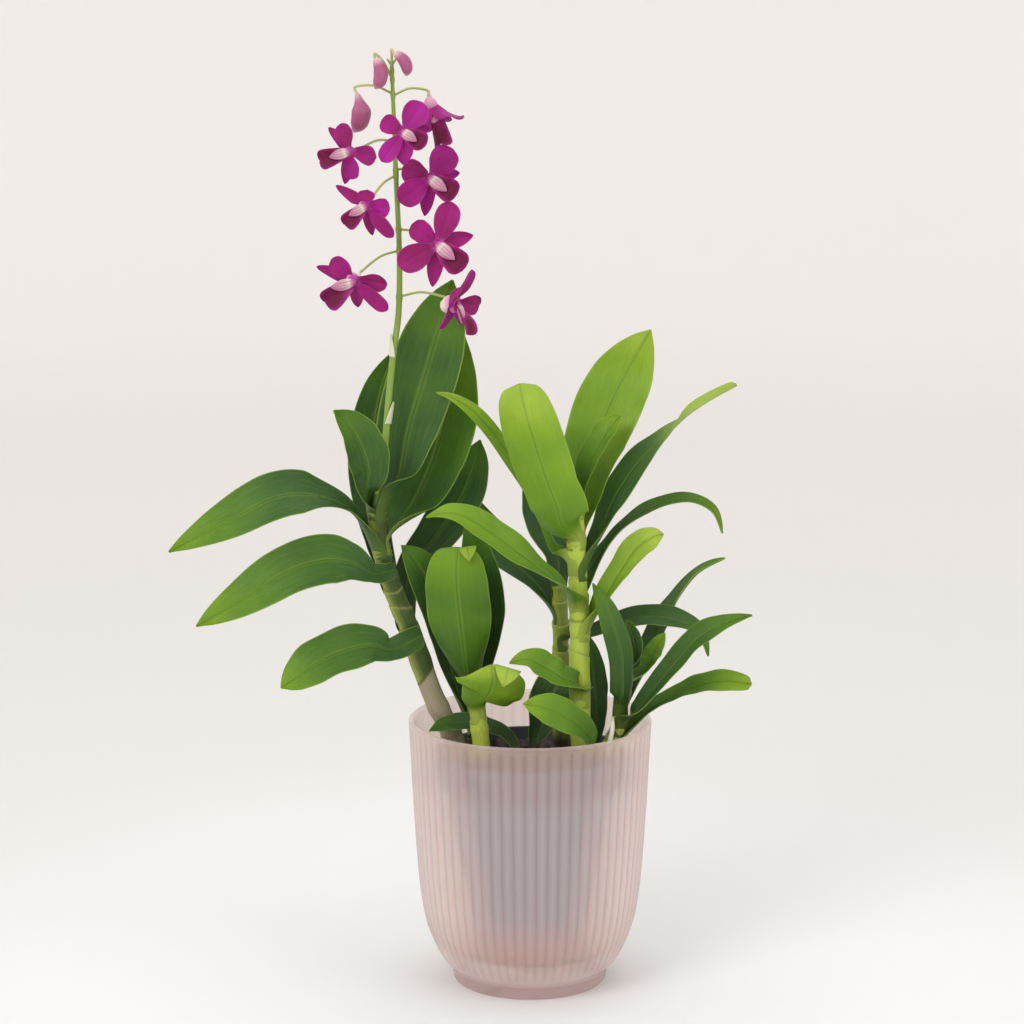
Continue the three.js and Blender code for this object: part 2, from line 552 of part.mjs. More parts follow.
function bark() {
  const bottomRadius = nurseryRadiusAt(BARK_BOTTOM) - NURSERY_WALL - GAP;
  const topRadius = nurseryRadiusAt(BARK_TOP) - NURSERY_WALL - GAP;
  const bed = lathe([
    [0, BARK_BOTTOM], [bottomRadius, BARK_BOTTOM], [topRadius, BARK_TOP], [0, BARK_TOP],
  ], ROUND_SIDES);
  let solid = toSolid(bed);
  for (let k = 0; k < CHIP_COUNT; k += 1) {
    solid = solid.add(toSolid(chip()));
  }
  for (const name of Object.keys(CANES)) {
    solid = solid.subtract(toSolid(cane(name, GAP)));
  }
  for (const { foot } of Object.values(LEAVES)) {
    solid = foot ? solid.subtract(toSolid(rootedHole(foot))) : solid;
  }
  return toGeometry(solid.subtract(toSolid(aerialRoot(GAP))));
}

// ---- canes ----
const threeRadii = (radii, share) => lookUp([[0, radii[0]], [0.5, radii[1]], [1, radii[2]]], share);

function cane(name, extra) {
  const { line, radii, joints } = CANES[name];
  const steps = joints * 2;
  const radiusAt = (share) => {
    const plain = threeRadii(radii, share);
    const atJoint = Math.round(share * steps) % 2 === 0 ? JOINT_SWELL : 0;
    return plain + atJoint + extra;
  };
  const [x, y, z] = line[0];
  const footed = extra ? [[x, y, z - extra], ...line.slice(1)] : line;
  return tube(footed, radiusAt, steps, CANE_SIDES);
}

// The first place along a list of vectors where the curve reaches the given height.
function placeAtHeight(list, height) {
  let place = 0;
  while (place < list.length - 1 && along(list, place).z < height) {
    place += 0.01;
  }
  return place;
}

function directionAt(list, place) {
  const ahead = along(list, Math.min(place + 0.02, list.length - 1));
  const behind = along(list, Math.max(place - 0.02, 0));
  return ahead.sub(behind).normalize();
}

function caneFrame(name, height) {
  const list = CANES[name].line.map(vec);
  const place = placeAtHeight(list, height);
  const radius = threeRadii(CANES[name].radii, place / (list.length - 1)) + JOINT_SWELL;
  return { centre: along(list, place), direction: directionAt(list, place), radius };
}

// ---- leaves ----
const SHEATH_BEND = 1.25;
const SHEATH_LENGTH = 8;
const CLASP_BEND = 0.4;
const CLASP_ROOM = 1.3;
const UNFOLD_STEPS = 2;
const NECK_SHARE = 0.3;

// The side of the cane that a leaf sits on: its stated azimuth, or else the way its midrib leaves.
function outward(leaf, lean) {
  if (leaf.azimuth === undefined) {
    return lean.normalize();
  }
  const turn = (leaf.azimuth * Math.PI) / 180;
  return vec([Math.cos(turn), Math.sin(turn), 0]);
}

// The base of a leaf that crosses its cane: two places round the cane, at the two stated azimuths.
// Its upper side looks away from the cane.
function claspOf(leaf) {
  const { centre, direction, radius } = caneFrame(leaf.cane, leaf.height);
  const reach = radius * SHEATH_ROOM + GAP + CLASP_ROOM;
  const facing = leaf.clasp.map((azimuth) => {
    const way = outward({ azimuth });
    return way.addScaledVector(direction, -way.dot(direction)).normalize();
  });
  const points = facing.map((way) => centre.clone().addScaledVector(way, reach));
  return { points, facing, half: leaf.claspHalf, bend: CLASP_BEND };
}

// The sheath: two places on the cane's skin, on the side where the midrib leaves it.
function sheathOf(leaf) {
  const first = vec(leaf.midrib[0]);
  if (leaf.clasp) {
    return claspOf(leaf);
  }
  if (leaf.foot) {
    const foot = vec([...leaf.foot, STEM_FOOT]);
    const out = outward(leaf, first.clone().sub(foot).setZ(0));
    const raised = foot.clone().setZ(BARK_TOP + 6);
    const inward = out.negate();
    const half = ROOTED_RADIUS * SHEATH_BEND;
    return { points: [foot, raised], facing: [inward, inward], half, bend: SHEATH_BEND };
  }
  const low = caneFrame(leaf.cane, leaf.height);
  const high = caneFrame(leaf.cane, leaf.height + SHEATH_LENGTH);
  const lean = outward(leaf, first.clone().sub(high.centre));
  const out = lean.addScaledVector(high.direction, -lean.dot(high.direction)).normalize();
  const reach = low.radius * SHEATH_ROOM + GAP;
  const points = [low, high].map(({ centre }) => centre.clone().addScaledVector(out, reach));
  const inward = out.clone().negate();
  return { points, facing: [inward, inward], half: reach * SHEATH_BEND, bend: SHEATH_BEND };
}

function leafStations(leaf) {
  const { points: sheath, facing: low, half: sheathHalf, bend: sheathBend } = sheathOf(leaf);
  const midrib = leaf.midrib.map(vec);
  const list = [...sheath, ...midrib];
  const faces = leaf.facing.map(vec);
  const reach = midrib.length - 1;
  const facings = list.map((_, k) => (k < sheath.length ? low[k]
    : along(faces, ((k - sheath.length) / reach) * (faces.length - 1))));
  const profile = leaf.blunt ? BLUNT_PROFILE : POINTED_PROFILE;
  const places = [0, 1, 1.5];
  for (let step = 0; step < BLADE_STATIONS; step += 1) {
    places.push(sheath.length + reach * (step / (BLADE_STATIONS - 1)));
  }
  return places.map((place) => {
    const share = Math.max(place - sheath.length, 0) / reach;
    const opened = Math.min(Math.max(place - 1, 0), 1);
    const necking = mix(leaf.neck ?? 1, 1, Math.min(share / NECK_SHARE, 1));
    const flattened = Math.min(Math.max(place - 1, 0) / UNFOLD_STEPS, 1);
    const broader = ((leaf.base ?? profile[0][1]) - profile[0][1]) * Math.max(1 - share / NECK_SHARE, 0);
    const width = (leaf.width / 2) * (lookUp(profile, share) + broader) * necking;
    return {
      centre: along(list, place),
      direction: directionAt(list, place),
      facing: along(facings, place).normalize(),
      half: mix(sheathHalf, width, opened),
      bend: mix(sheathBend, leaf.cup, flattened),
    };
  });
}

const leafBlade = (leaf) => blade(leafStations(leaf), leaf.width < NARROW_WIDTH ? 3 : 4, LEAF_THICK);

// ---- flower spike ----
const spikeRadiusAt = (share) => threeRadii(SPIKE_RADII, share);

// Where a stalklet ends: behind the bloom's ovary, or at the bud's lower end.
function stalkletEnd(item) {
  const centre = vec(item.centre);
  if (item.face) {
    const face = vec(item.face).normalize();
    return { end: centre.addScaledVector(face, -OVARY_LENGTH * item.size - STALKLET_GAP), heading: face };
  }
  const heading = vec(item.along).normalize();
  return { end: centre.addScaledVector(heading, -item.length * 0.5 - STALKLET_GAP), heading };
}

function stalklet(item) {
  const list = SPIKE_LINE.map(vec);
  const start = along(list, placeAtHeight(list, item.stalk));
  const { end, heading } = stalkletEnd(item);
  const before = end.clone().addScaledVector(heading, -STALKLET_STRAIGHT);
  const rise = start.clone().lerp(before, 0.5).add(vec([0, 0, STALKLET_RISE]));
  return tube([start, rise, before, end].map((p) => p.toArray()), () => STALKLET_RADIUS, 6, 4);
}

// A papery bract: a short blade clasping the stalk just under a joint.
function bract([share, sign]) {
  const list = SPIKE_LINE.map(vec);
  const place = share * (list.length - 1);
  const base = along(list, place);
  const top = along(list, place + 0.5);
  const direction = top.clone().sub(base).normalize();
  const out = vec([sign, -0.6, 0]).normalize();
  const radius = spikeRadiusAt(share);
  const stations = [0, 0.35, 0.7, 1].map((step) => ({
    centre: base.clone().addScaledVector(direction, step * BRACT_LENGTH)
      .addScaledVector(out, radius * 0.7 + step * 2),
    direction,
    facing: out.clone().negate(),
    half: mix(3, 0.6, step ** 2),
    bend: mix(1, 0.6, step),
  }));
  return blade(stations, 2, PETAL_THICK);
}

function flowerSpike() {
  const stalk = tube(SPIKE_LINE, spikeRadiusAt, SPIKE_STEPS, SPIKE_SIDES);
  const items = [...Object.values(BLOOMS), ...Object.values(BUDS)];
  return fuse([stalk, ...items.map(stalklet), ...BRACTS.map(bract)]);
}

// ---- blooms ----
const PETAL_PROFILE = [[0, 0.28], [0.3, 0.78], [0.6, 1], [0.85, 0.8], [1, 0.28]];
const SEPAL_PROFILE = [[0, 0.45], [0.35, 1], [0.7, 0.75], [1, 0.08]];
const LIP_PROFILE = [[0, 0.45], [0.35, 0.95], [0.7, 1], [1, 0.35]];
// Turn from the top, length, width, level forward of the bloom's middle, lean forward at the tip,
// hollow, outline, and how many stations and columns the blade has.
const SEPAL = {
  length: 17, width: 9, level: -0.7, lean: -2, cup: 0.35, outline: SEPAL_PROFILE, steps: 4, columns: 2,
};
const PETAL = {
  length: 17.5, width: 15, level: 0.6, lean: -1, cup: 0.25, outline: PETAL_PROFILE, steps: 5, columns: 2,
};
const LIP = {
  length: 14, width: 12, level: 1.9, lean: 8, cup: 0.9, outline: LIP_PROFILE, steps: 4, columns: 3,
};
const TEPALS = [
  { ...SEPAL, turn: 0, length: 16, width: 10.5, lean: -1 },
  { ...PETAL, turn: 76 },
  { ...PETAL, turn: -76 },
  { ...SEPAL, turn: 138 },
  { ...SEPAL, turn: -138 },
  { ...LIP, turn: 180 },
];
const COLUMN_LENGTH = 6;
const TEPAL_START = 1.7;
const CLOSED_LENGTH = 15;
// Radius of the ovary, spur, hub and column along the middle of a bloom.
const CORE_OUTLINE = [[0, 1.1], [0.25, 1.5], [0.5, 2.9], [0.75, 1.6], [1, 1.4]];
const SPUR_SHARES = [0.1, 0.6];

// A tepal in the bloom's own frame: top is +Y, face is +Z.
function tepal({ turn, length, width, level, lean, cup, outline, steps, columns }, size, closing) {
  const angle = (turn * Math.PI) / 180;
  const out = vec([Math.sin(angle), Math.cos(angle), 0]);
  const rise = lean + closing;
  const spread = Math.sqrt(1 - (closing / Math.max(length, CLOSED_LENGTH)) ** 2);
  const stations = Array.from({ length: steps }, (_, k) => {
    const share = k / (steps - 1);
    const centre = out.clone().multiplyScalar((TEPAL_START + length * spread * share) * size);
    centre.z = (level + rise * Math.sin((share * Math.PI) / 2)) * size;
    const slope = (rise / (length * spread)) * (Math.PI / 2) * Math.cos((share * Math.PI) / 2);
    const direction = out.clone().add(vec([0, 0, slope])).normalize();
    const facing = vec([0, 0, 1]).addScaledVector(out, -slope);
    return { centre, direction, facing, half: (width / 2) * lookUp(outline, share) * size, bend: cup };
  });
  return blade(stations, columns, PETAL_THICK);
}

// The bloom's own turns, lengths and widths go over those that all blooms share.
function bloom({ centre, face, top, size, closing = 0, spur = 1, tepals = [] }) {
  const [low, high] = SPUR_SHARES;
  const core = tube([[0, 0, -OVARY_LENGTH * size], [0, 0, 0], [0, 0, COLUMN_LENGTH * size]],
    (share) => lookUp(CORE_OUTLINE, share) * (share > low && share < high ? spur : 1) * size, 4, 6);
  const pieces = TEPALS.map((piece, k) => {
    const [turn, length, width] = tepals[k] ?? [piece.turn, piece.length, piece.width];
    return tepal({ ...piece, turn, length, width }, size, closing);
  });
  const whole = fuse([core, ...pieces]);
  const forward = vec(face).normalize();
  const right = vec(top).cross(forward).normalize();
  const up = forward.clone().cross(right);
  whole.applyMatrix4(new THREE.Matrix4().makeBasis(right, up, forward).setPosition(vec(centre)));
  return whole;
}

function bud({ centre, along: heading, length, bend }) {
  const direction = vec(heading).normalize();
  const middle = vec(centre);
  const sideways = direction.clone().cross(vec([0, 1, 0])).normalize();
  const bow = (share) => length * bend * Math.cos(share * Math.PI);
  const at = (share) => middle.clone().addScaledVector(direction, length * share)
    .addScaledVector(sideways, bow(share));
  const line = [-0.5, -0.2, 0.2, 0.5].map((share) => at(share).toArray());
  const outline = [[0, 0.12], [0.2, 0.2], [0.5, 0.3], [0.8, 0.2], [1, 0.04]];
  return tube(line, (share) => lookUp(outline, share) * length, 5, 7);
}

const aerialRoot = (extra) => tube(ROOT_LINE, () => ROOT_RADIUS + extra, 5, 6);

// ---- materials ----
function material(color, roughness) {
  return new THREE.MeshStandardMaterial({ color, roughness, metalness: 0 });
}
const frostedGlass = () => material(0xdebeb4, 0.45);
const greyPlastic = () => material(0xa89b9b, 0.6);
const barkBrown = () => material(0x33241c, 0.95);
const caneGreen = () => material(0xa6b04a, 0.5);
const darkLeaf = () => material(0x3c642d, 0.4);
const brightLeaf = () => material(0x8cb43c, 0.4);
const stalkGreen = () => material(0x9db451, 0.5);
const magenta = () => material(0xa51e8c, 0.5);
const dustyMauve = () => material(0xb45a82, 0.5);
const rootWhite = () => material(0xe6e2d4, 0.7);
const BRIGHT_LEAVES = /_(c\d|f\d|g1|e6|e7)$/;

// ---- the whole plant ----
const group = new THREE.Group();
function place(name, geometry, finish) {
  const mesh = new THREE.Mesh(geometry, finish);
  mesh.name = name;
  group.add(mesh);
}

place('glass_pot', glassPot(), frostedGlass());
place('nursery_pot', nurseryPot(), greyPlastic());
place('bark', bark(), barkBrown());
for (const name of Object.keys(CANES)) {
  place(name, cane(name, 0), caneGreen());
}
for (const [name, leaf] of Object.entries(LEAVES)) {
  place(name, leafBlade(leaf), BRIGHT_LEAVES.test(name) ? brightLeaf() : darkLeaf());
}
place('flower_spike', flowerSpike(), stalkGreen());
for (const [name, item] of Object.entries(BLOOMS)) {
  place(name, bloom(item), magenta());
}
for (const [name, item] of Object.entries(BUDS)) {
  place(name, bud(item), dustyMauve());
}
place('aerial_root', aerialRoot(0), rootWhite());

export default group;
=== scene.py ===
import math
import random
from collections import namedtuple

import bpy
import numpy as np
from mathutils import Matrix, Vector


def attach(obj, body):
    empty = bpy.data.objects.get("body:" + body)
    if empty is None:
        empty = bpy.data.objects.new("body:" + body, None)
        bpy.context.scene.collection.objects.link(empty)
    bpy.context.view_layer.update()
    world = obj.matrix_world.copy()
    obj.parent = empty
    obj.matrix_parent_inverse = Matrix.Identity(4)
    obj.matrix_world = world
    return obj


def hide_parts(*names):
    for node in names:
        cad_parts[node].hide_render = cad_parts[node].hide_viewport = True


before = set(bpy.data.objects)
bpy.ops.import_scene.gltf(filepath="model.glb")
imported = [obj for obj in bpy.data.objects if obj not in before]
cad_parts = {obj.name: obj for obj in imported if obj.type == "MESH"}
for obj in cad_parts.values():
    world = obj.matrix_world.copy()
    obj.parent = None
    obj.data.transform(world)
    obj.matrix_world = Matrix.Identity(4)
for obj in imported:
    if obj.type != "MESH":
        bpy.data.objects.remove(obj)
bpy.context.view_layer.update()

MM = 0.001
FULL_TURN = 2 * math.pi

# ---- dimensions, the same as the solids have ----
RIB_COUNT = 64
RIB_DEPTH = 0.9
GLASS_WALL = 3.8
GLASS_FLOOR = 20
GLASS_HEIGHT = 155
# Outside of the glass pot, foot to rim: height, radius, share of the full rib depth.
GLASS_OUTSIDE = [
    (0, 43.2, 0), (1.2, 44.3, 0), (5.4, 44.9, 0), (6.6, 44.8, 0), (8, 45.6, 0), (12, 49.8, 0.35),
    (16, 52.5, 0.8), (22.6, 55.8, 1), (36, 60.6, 1), (58, 64.2, 1), (98, 67.1, 1), (148, 69.7, 1),
    (151.3, 69.9, 0.5), (152.5, 70, 0), (154.1, 69.8, 0), (155, 68.8, 0),
]
GLASS_FLOOR_RADIUS = 40
GLASS_RIM_INSIDE = 66.4
# The rolled rim, from its top inwards: radius, depth below the top.
GLASS_RIM = [(68.2, 0), (67.2, 0.5), (GLASS_RIM_INSIDE + 0.1, 1.6), (GLASS_RIM_INSIDE - 0.1, 4)]

NURSERY_RADIUS_LOW = 30
NURSERY_RADIUS_HIGH = 53
NURSERY_BOTTOM = 20.3
NURSERY_RIM = 136
NURSERY_WALL = 1.2
NURSERY_LIP = 1.5
NURSERY_LIP_HEIGHT = 18

BARK_TOP = 128
BARK_GAP = 0.6
STEM_FOOT = 118

LEAF_THICK = 0.9
PETAL_THICK = 0.6
ROOTED_RADIUS = 2.6
ROOTED_RISE = 6
SHEATH_BEND = 1.35
SHEATH_LENGTH = 8
# How far a sheath's midrib lies inside the cane's skin, at its foot and at its top.
SHEATH_SUNK = (1, 0.2)
CLASP_BEND = 0.4
CLASP_ROOM = 1.3
UNFOLD_STEPS = 2
NECK_SHARE = 0.3
JOINT_SWELL = 0.45

# A cane: its middle line, radii at foot, middle and top, and joints; how young it looks, the sheath mouths
# without a leaf (height, azimuth), how dark its shaded side is, and the height of its papery part.
Cane = namedtuple("Cane", "line radii joints young bare_mouths shaded papery", defaults=((), 0, 0))
CANES = {
    "cane_a": Cane(
        [(-40, 7, 118), (-43, 7, 136), (-47, 7, 147), (-57, 4, 170), (-69, 0, 207), (-79, -2, 233),
         (-85, -4, 257), (-87, -5, 279)],
        (6.2, 5.6, 4.9), 8, 0.0, [(221, 200)], shaded=1.0, papery=180),
    "cane_c": Cane(
        [(31, -12, 118), (29, -12, 148), (28, -12, 192), (28, -12, 215), (26, -12, 256), (25, -12, 281)],
        (5.6, 5.4, 4.6), 9, 0.9, [(148, 150), (176, 20), (196, 200)]),
    "cane_d": Cane(
        [(19, 25, 118), (18, 25, 159), (18, 27, 204), (17, 28, 226)],
        (4.6, 4.6, 3.8), 6, 0.35, [(172, 180)], shaded=0.5),
    "cane_e": Cane(
        [(41, -8, 118), (44, -8.5, 136), (51, -11, 156), (53, -10, 188)],
        (4.4, 4.2, 3.2), 6, 0.15, [(140, 200)]),
    "cane_f": Cane([(-26, -20, 118), (-28, -21, 146), (-31, -20, 168)], (4.6, 4.6, 4.2), 3, 0.6),
    "cane_g": Cane(
        [(-31, 17, 118), (-32, 16, 150), (-34, 14, 174)], (4.6, 4.4, 3.6), 4, 0.3, shaded=0.3),
}
# A leaf: cane, height there, azimuth (None: towards its midrib), width, cup and tone; then its midrib and
# the ways its upper side faces, base to tip; then what only some have. A foot is a place in the bark.
Leaf = namedtuple(
    "Leaf",
    "cane height azimuth width cup tone midrib facing foot clasp clasp_half base neck tip blunt",
    defaults=(None, None, None, None, 1, 0, False),
)
LEAVES = {
    "leaf_a1": Leaf("cane_a", 203, None, 29, 0.3, 0.3,
        [(-79, -13, 198), (-90, -17, 202), (-105, -21, 200), (-120, -25, 194), (-132, -28, 186),
         (-141, -30, 180)],
        [(0, -0.8, 0.55), (-0.1, -0.8, 0.6), (0, -0.78, 0.62)], clasp=(-25, -85), clasp_half=7.4,
         neck=0.74, tip=0.1),
    "leaf_a2": Leaf("cane_a", 243, None, 31, 0.25, 0.26,
        [(-90, -14, 243), (-102, -18, 250), (-118, -23, 252), (-138, -28, 246), (-165, -34, 230),
         (-187, -40, 218)],
        [(0, -0.85, 0.5), (-0.1, -0.85, 0.5), (0, -0.78, 0.62)], clasp=(-30, -88), clasp_half=5.4,
         neck=0.58, tip=0.1),
    "leaf_a3": Leaf("cane_a", 250, -148, 31, 0.3, 0.2,
        [(-101, -12, 279), (-123, -15, 288), (-144, -18, 287), (-171, -23, 274), (-203, -28, 258)],
        [(0.4, -0.4, 0.8), (-0.1, -0.8, 0.6), (0, -0.78, 0.62)], neck=0.45, tip=0.14),
    "leaf_a4": Leaf("cane_a", 272, -165, 28, 0.6, 0.2,
        [(-92, -16, 291), (-91, -19, 303), (-94, -21, 315), (-99.5, -24, 327), (-109, -28, 338)],
        [(0.4, -0.85, 0.35), (0.4, -0.8, 0.4), (0.3, -0.8, 0.4)], base=0.5),
    "leaf_a5": Leaf("cane_a", 271, -10, 43, 0.3, 0.24,
        [(-74, 3, 297), (-69, 7, 322), (-60, 9, 352), (-51, 8, 382), (-44, 5, 407)],
        [(-0.6, -0.8, 0.1), (-0.35, -0.9, 0.1), (-0.2, -0.9, 0.1)], base=0.8),
    "leaf_a6": Leaf("cane_a", 252, 45, 40, 0.2, 0.36,
        [(-68, 16, 276), (-58, 20, 296), (-50, 22, 320), (-44, 24, 346), (-38, 22, 374)],
        [(-0.5, -0.8, 0.2), (-0.3, -0.9, 0.1), (-0.3, -0.9, 0.1)], base=0.9),
    "leaf_a7": Leaf("cane_a", 230, 110, 26, 0.3, 0.12,
        [(-87, 17, 256), (-92, 25, 284), (-92, 30, 312), (-87, 32, 340), (-79, 30, 363)],
        [(0, -0.95, 0.1), (0.2, -0.95, 0), (0.2, -0.95, 0)]),
    "leaf_a8": Leaf("cane_a", 206, 85, 28, 0.3, 0.16,
        [(-69, 24, 236), (-54, 31, 256), (-41, 35, 275), (-33, 37, 294), (-29, 36, 311)],
        [(-0.2, -0.9, 0.4), (-0.3, -0.9, 0.4), (-0.2, -0.9, 0.2)]),
    "leaf_b1": Leaf("cane_g", 140, 165, 25, 0.3, 0.14,
        [(-46, 18, 180), (-49, 15, 203), (-55, 8, 226), (-64, 3, 244), (-73, 0, 256)],
        [(0.5, -0.8, 0.3), (0.4, -0.9, 0.3), (0.3, -0.9, 0.3)]),
    "leaf_c1": Leaf("cane_c", 256, -85, 34, 0.45, 0.66,
        [(18, -26, 273), (15, -29, 284), (10, -31, 297), (5, -33, 312), (0, -33, 328), (-4, -31, 342),
         (-6, -28, 353)],
        [(0.2, 0.95, 0.3), (0.1, 0.98, 0), (0, 1, -0.1)], base=0.98, blunt=True),
    "leaf_c2": Leaf("cane_c", 215, -100, 18, 0.4, 0.56,
        [(20, -29, 237), (5, -34, 250), (-13, -40, 265), (-29, -44, 277), (-44, -48, 284),
         (-58, -48, 282)],
        [(0.4, -0.1, 0.9), (0.2, -0.8, 0.6), (0, -0.35, 0.9)], neck=0.9),
    "leaf_c3": Leaf("cane_c", 258, 88, 40, 0.25, 0.66,
        [(31, 0, 291), (37, 8, 314), (46, 12, 337), (57, 14, 358), (68, 12, 378)],
        [(-0.4, -0.9, 0.2), (-0.35, -0.92, 0.1), (-0.3, -0.95, 0.1)], base=0.8),
    "leaf_c4": Leaf("cane_c", 273.5, 30, 17, 0.7, 0.5,
        [(29, -11, 292), (33, -11, 306), (39.5, -10, 318), (45, -8, 326), (51, -7, 332)],
        [(-0.6, -0.7, 0.3), (-0.6, -0.7, 0.3), (-0.5, -0.8, 0.3)]),
    "leaf_c5": Leaf("cane_c", 238, 5, 22, 0.4, 0.26,
        [(41, -4, 268), (47, 0, 282), (56, 4, 296), (65, 8, 307), (76, 12, 317), (88, 17, 328),
         (102, 22, 337), (118, 27, 345)],
        [(-0.6, -0.6, 0.5), (-0.5, -0.7, 0.4), (-0.65, -0.35, 0.7), (-0.5, 0.35, 0.8), (-0.35, 0.4, 0.8)],
         tip=0.6, blunt=True),
    "leaf_c6": Leaf("cane_c", 226, 75, 10, 0.5, 0.34,
        [(45, 4, 258), (57, 10, 269), (73, 16, 277), (91, 18, 280), (105, 16, 274), (111, 12, 261)],
        [(-0.4, -0.5, 0.8), (-0.1, -0.45, 0.9), (0.6, -0.5, 0.6)]),
    "leaf_c7": Leaf("cane_c", 203, -10, 17, 0.4, 0.84,
        [(43, -12, 230), (51, -8, 243), (60, -4, 255), (69, -2, 261), (76, -1, 263)],
        [(-0.6, -0.5, 0.7), (-0.4, -0.8, 0.4), (-0.3, -0.9, 0.3)], base=0.95),
    "leaf_c8": Leaf("cane_c", 241.6, 178, 9, 0.4, 0.62,
        [(13, -4, 257), (6, -6, 275), (-2, -7, 293), (-13, -8, 311), (-24, -8, 326), (-34, -7, 336),
         (-44, -5, 342), (-53, -3, 345)],
        [(-0.6, -0.5, 0.6), (-0.5, -0.6, 0.6), (-0.2, -0.6, 0.7)]),
    "leaf_c9": Leaf("cane_c", 164, -90, 18, 0.4, 0.5,
        [(27, -24, 181), (18, -28, 186), (9, -30, 192), (-1, -31, 197), (-12, -31, 195)],
        [(0.3, -0.4, 0.8), (0, -0.65, 0.75), (-0.1, -0.6, 0.8)], base=0.85),
    "leaf_d1": Leaf("cane_d", 203, None, 25, 0.3, 0.12,
        [(4, 36, 226), (-13, 42, 241), (-29, 45, 258), (-42, 45, 272), (-52, 42, 286)],
        [(0.3, -0.7, 0.7), (0.3, -0.75, 0.6), (0.3, -0.8, 0.5)]),
    "leaf_d2": Leaf("cane_d", 217, None, 24, 0.3, 0.06,
        [(16, 38, 242), (11, 44, 256), (5, 46, 272), (-2, 44, 290)],
        [(0.1, -0.95, 0.3), (0.2, -0.95, 0.2), (0.2, -0.95, 0.2)]),
    "leaf_e1": Leaf("cane_e", 158, -110, 15, 0.4, 0.22,
        [(52, -20, 174), (52, -23, 186), (51, -25, 200), (47, -26, 214), (42, -24, 227), (35, -20, 238)],
        [(-0.2, 0.95, 0.2), (-0.3, 0.9, 0), (-0.3, 0.9, -0.2)], base=0.95),
    "leaf_e2": Leaf("cane_e", 180, -40, 10, 0.5, 0.12,
        [(59, -13, 192), (60, -14, 199), (58, -13, 207), (55, -11, 215)],
        [(-0.6, -0.8, 0.2), (-0.3, -0.9, 0.2), (0, -0.95, 0.2)]),
    "leaf_e3": Leaf("cane_d", 188, None, 16, 0.5, 0.16,
        [(37, 20, 201), (51, 16, 208), (68, 12, 212), (84, 8, 211), (97, 5, 205), (103, 2, 191)],
        [(-0.4, -0.6, 0.7), (0, -0.6, 0.8), (0.6, -0.4, 0.6)]),
    "leaf_e4": Leaf("cane_e", 159, 68, 18, 0.5, 0.24,
        [(64, 6, 181), (69, 13, 192), (75, 20, 204), (84, 26, 219), (97, 31, 234), (113, 32, 243)],
        [(-0.7, -0.6, 0.4), (-0.7, -0.6, 0.4), (-0.75, -0.15, 0.6), (-0.5, -0.15, 0.8)]),
    "leaf_e5": Leaf("cane_e", 147.3, -63, 17, 0.5, 0.2,
        [(62, -22, 167), (71, -28, 181), (82, -33, 196), (93, -37, 210), (107, -39, 219),
         (124, -37, 224)],
        [(-0.6, -0.5, 0.6), (-0.5, -0.6, 0.6), (-0.3, -0.6, 0.7)]),
    "leaf_e6": Leaf("cane_e", 138.6, 30, 14, 0.4, 0.4,
        [(67, -10, 162), (81, -12, 171), (95, -15, 178), (110, -17, 181), (126, -17, 179)],
        [(-0.4, -0.6, 0.7), (-0.3, -0.35, 0.9), (0, -0.8, 0.6), (0, -0.85, 0.5)], tip=0.15, blunt=True),
    "leaf_e7": Leaf("cane_e", 170, 25, 11, 0.5, 0.45,
        [(65, -5, 184), (69, -3, 191), (73, -1, 198), (77, 0, 205)],
        [(-0.6, -0.7, 0.4), (-0.4, -0.8, 0.4), (-0.3, -0.9, 0.3)]),
    "leaf_e8": Leaf(None, None, 90, 15, 0.4, 0.05,
        [(39, 9, 152), (38, 9, 168), (36, 9, 184), (35, 9, 200)],
        [(0.2, -0.95, 0.1), (0.3, -0.9, 0.1), (0.3, -0.9, 0.1)], foot=(37, 8)),
    "leaf_f1": Leaf("cane_g", 162, -100, 37, 0.3, 0.42,
        [(-37, -1, 187), (-39, -7, 206), (-41, -10, 224), (-42, -11, 241), (-41, -9, 257)],
        [(0.05, 0.95, 0.2), (0, 0.98, 0), (0, 1, -0.1)], blunt=True),
    "leaf_f2": Leaf("cane_g", 151, 20, 25, 0.3, 0.16,
        [(-28, 18, 184), (-26, 16, 206), (-26, 13, 226), (-30, 9, 248), (-36, 5, 270)],
        [(-0.2, -0.95, 0.1), (-0.3, -0.9, 0.1), (-0.1, -0.95, 0.1)]),
    "leaf_f3": Leaf("cane_f", 157, -60, 42, 0.3, 0.6,
        [(-28, -29, 172), (-25, -31, 176), (-22.5, -33, 181), (-21.5, -34.5, 187), (-22, -35.5, 195)],
        [(-0.2, 0.9, 0.3), (-0.15, 0.95, 0.2), (-0.1, 0.98, 0.1)], base=0.56),
    "leaf_g1": Leaf(None, None, 190, 20, 0.3, 0.5,
        [(32, -34, 154), (22, -39, 164), (9, -42, 171), (-4, -42, 174)],
        [(0.2, -0.7, 0.7), (-0.1, -0.8, 0.6), (-0.1, -0.8, 0.6)], foot=(34, -26)),
    "leaf_g2": Leaf(None, None, None, 24, 0.3, 0.06,
        [(6, 6, 148), (10, 8, 160), (14, 10, 170), (19, 12, 177)],
        [(0, -0.98, 0.2), (0, -0.98, 0.2), (0, -0.98, 0.2)], foot=(3, 4), blunt=True),
    "leaf_h": Leaf(None, None, None, 13, 0.4, 0.1,
        [(-14, -5, 146), (-26, -3, 151), (-37, -2, 153), (-48, -4, 152), (-58, -6, 149)],
        [(0, -0.6, 0.8), (0, -0.65, 0.75), (0, -0.7, 0.7)], foot=(-8, -8)),
}
BRIGHT_SHOOTS = ("leaf_e6", "leaf_e7", "leaf_g1")
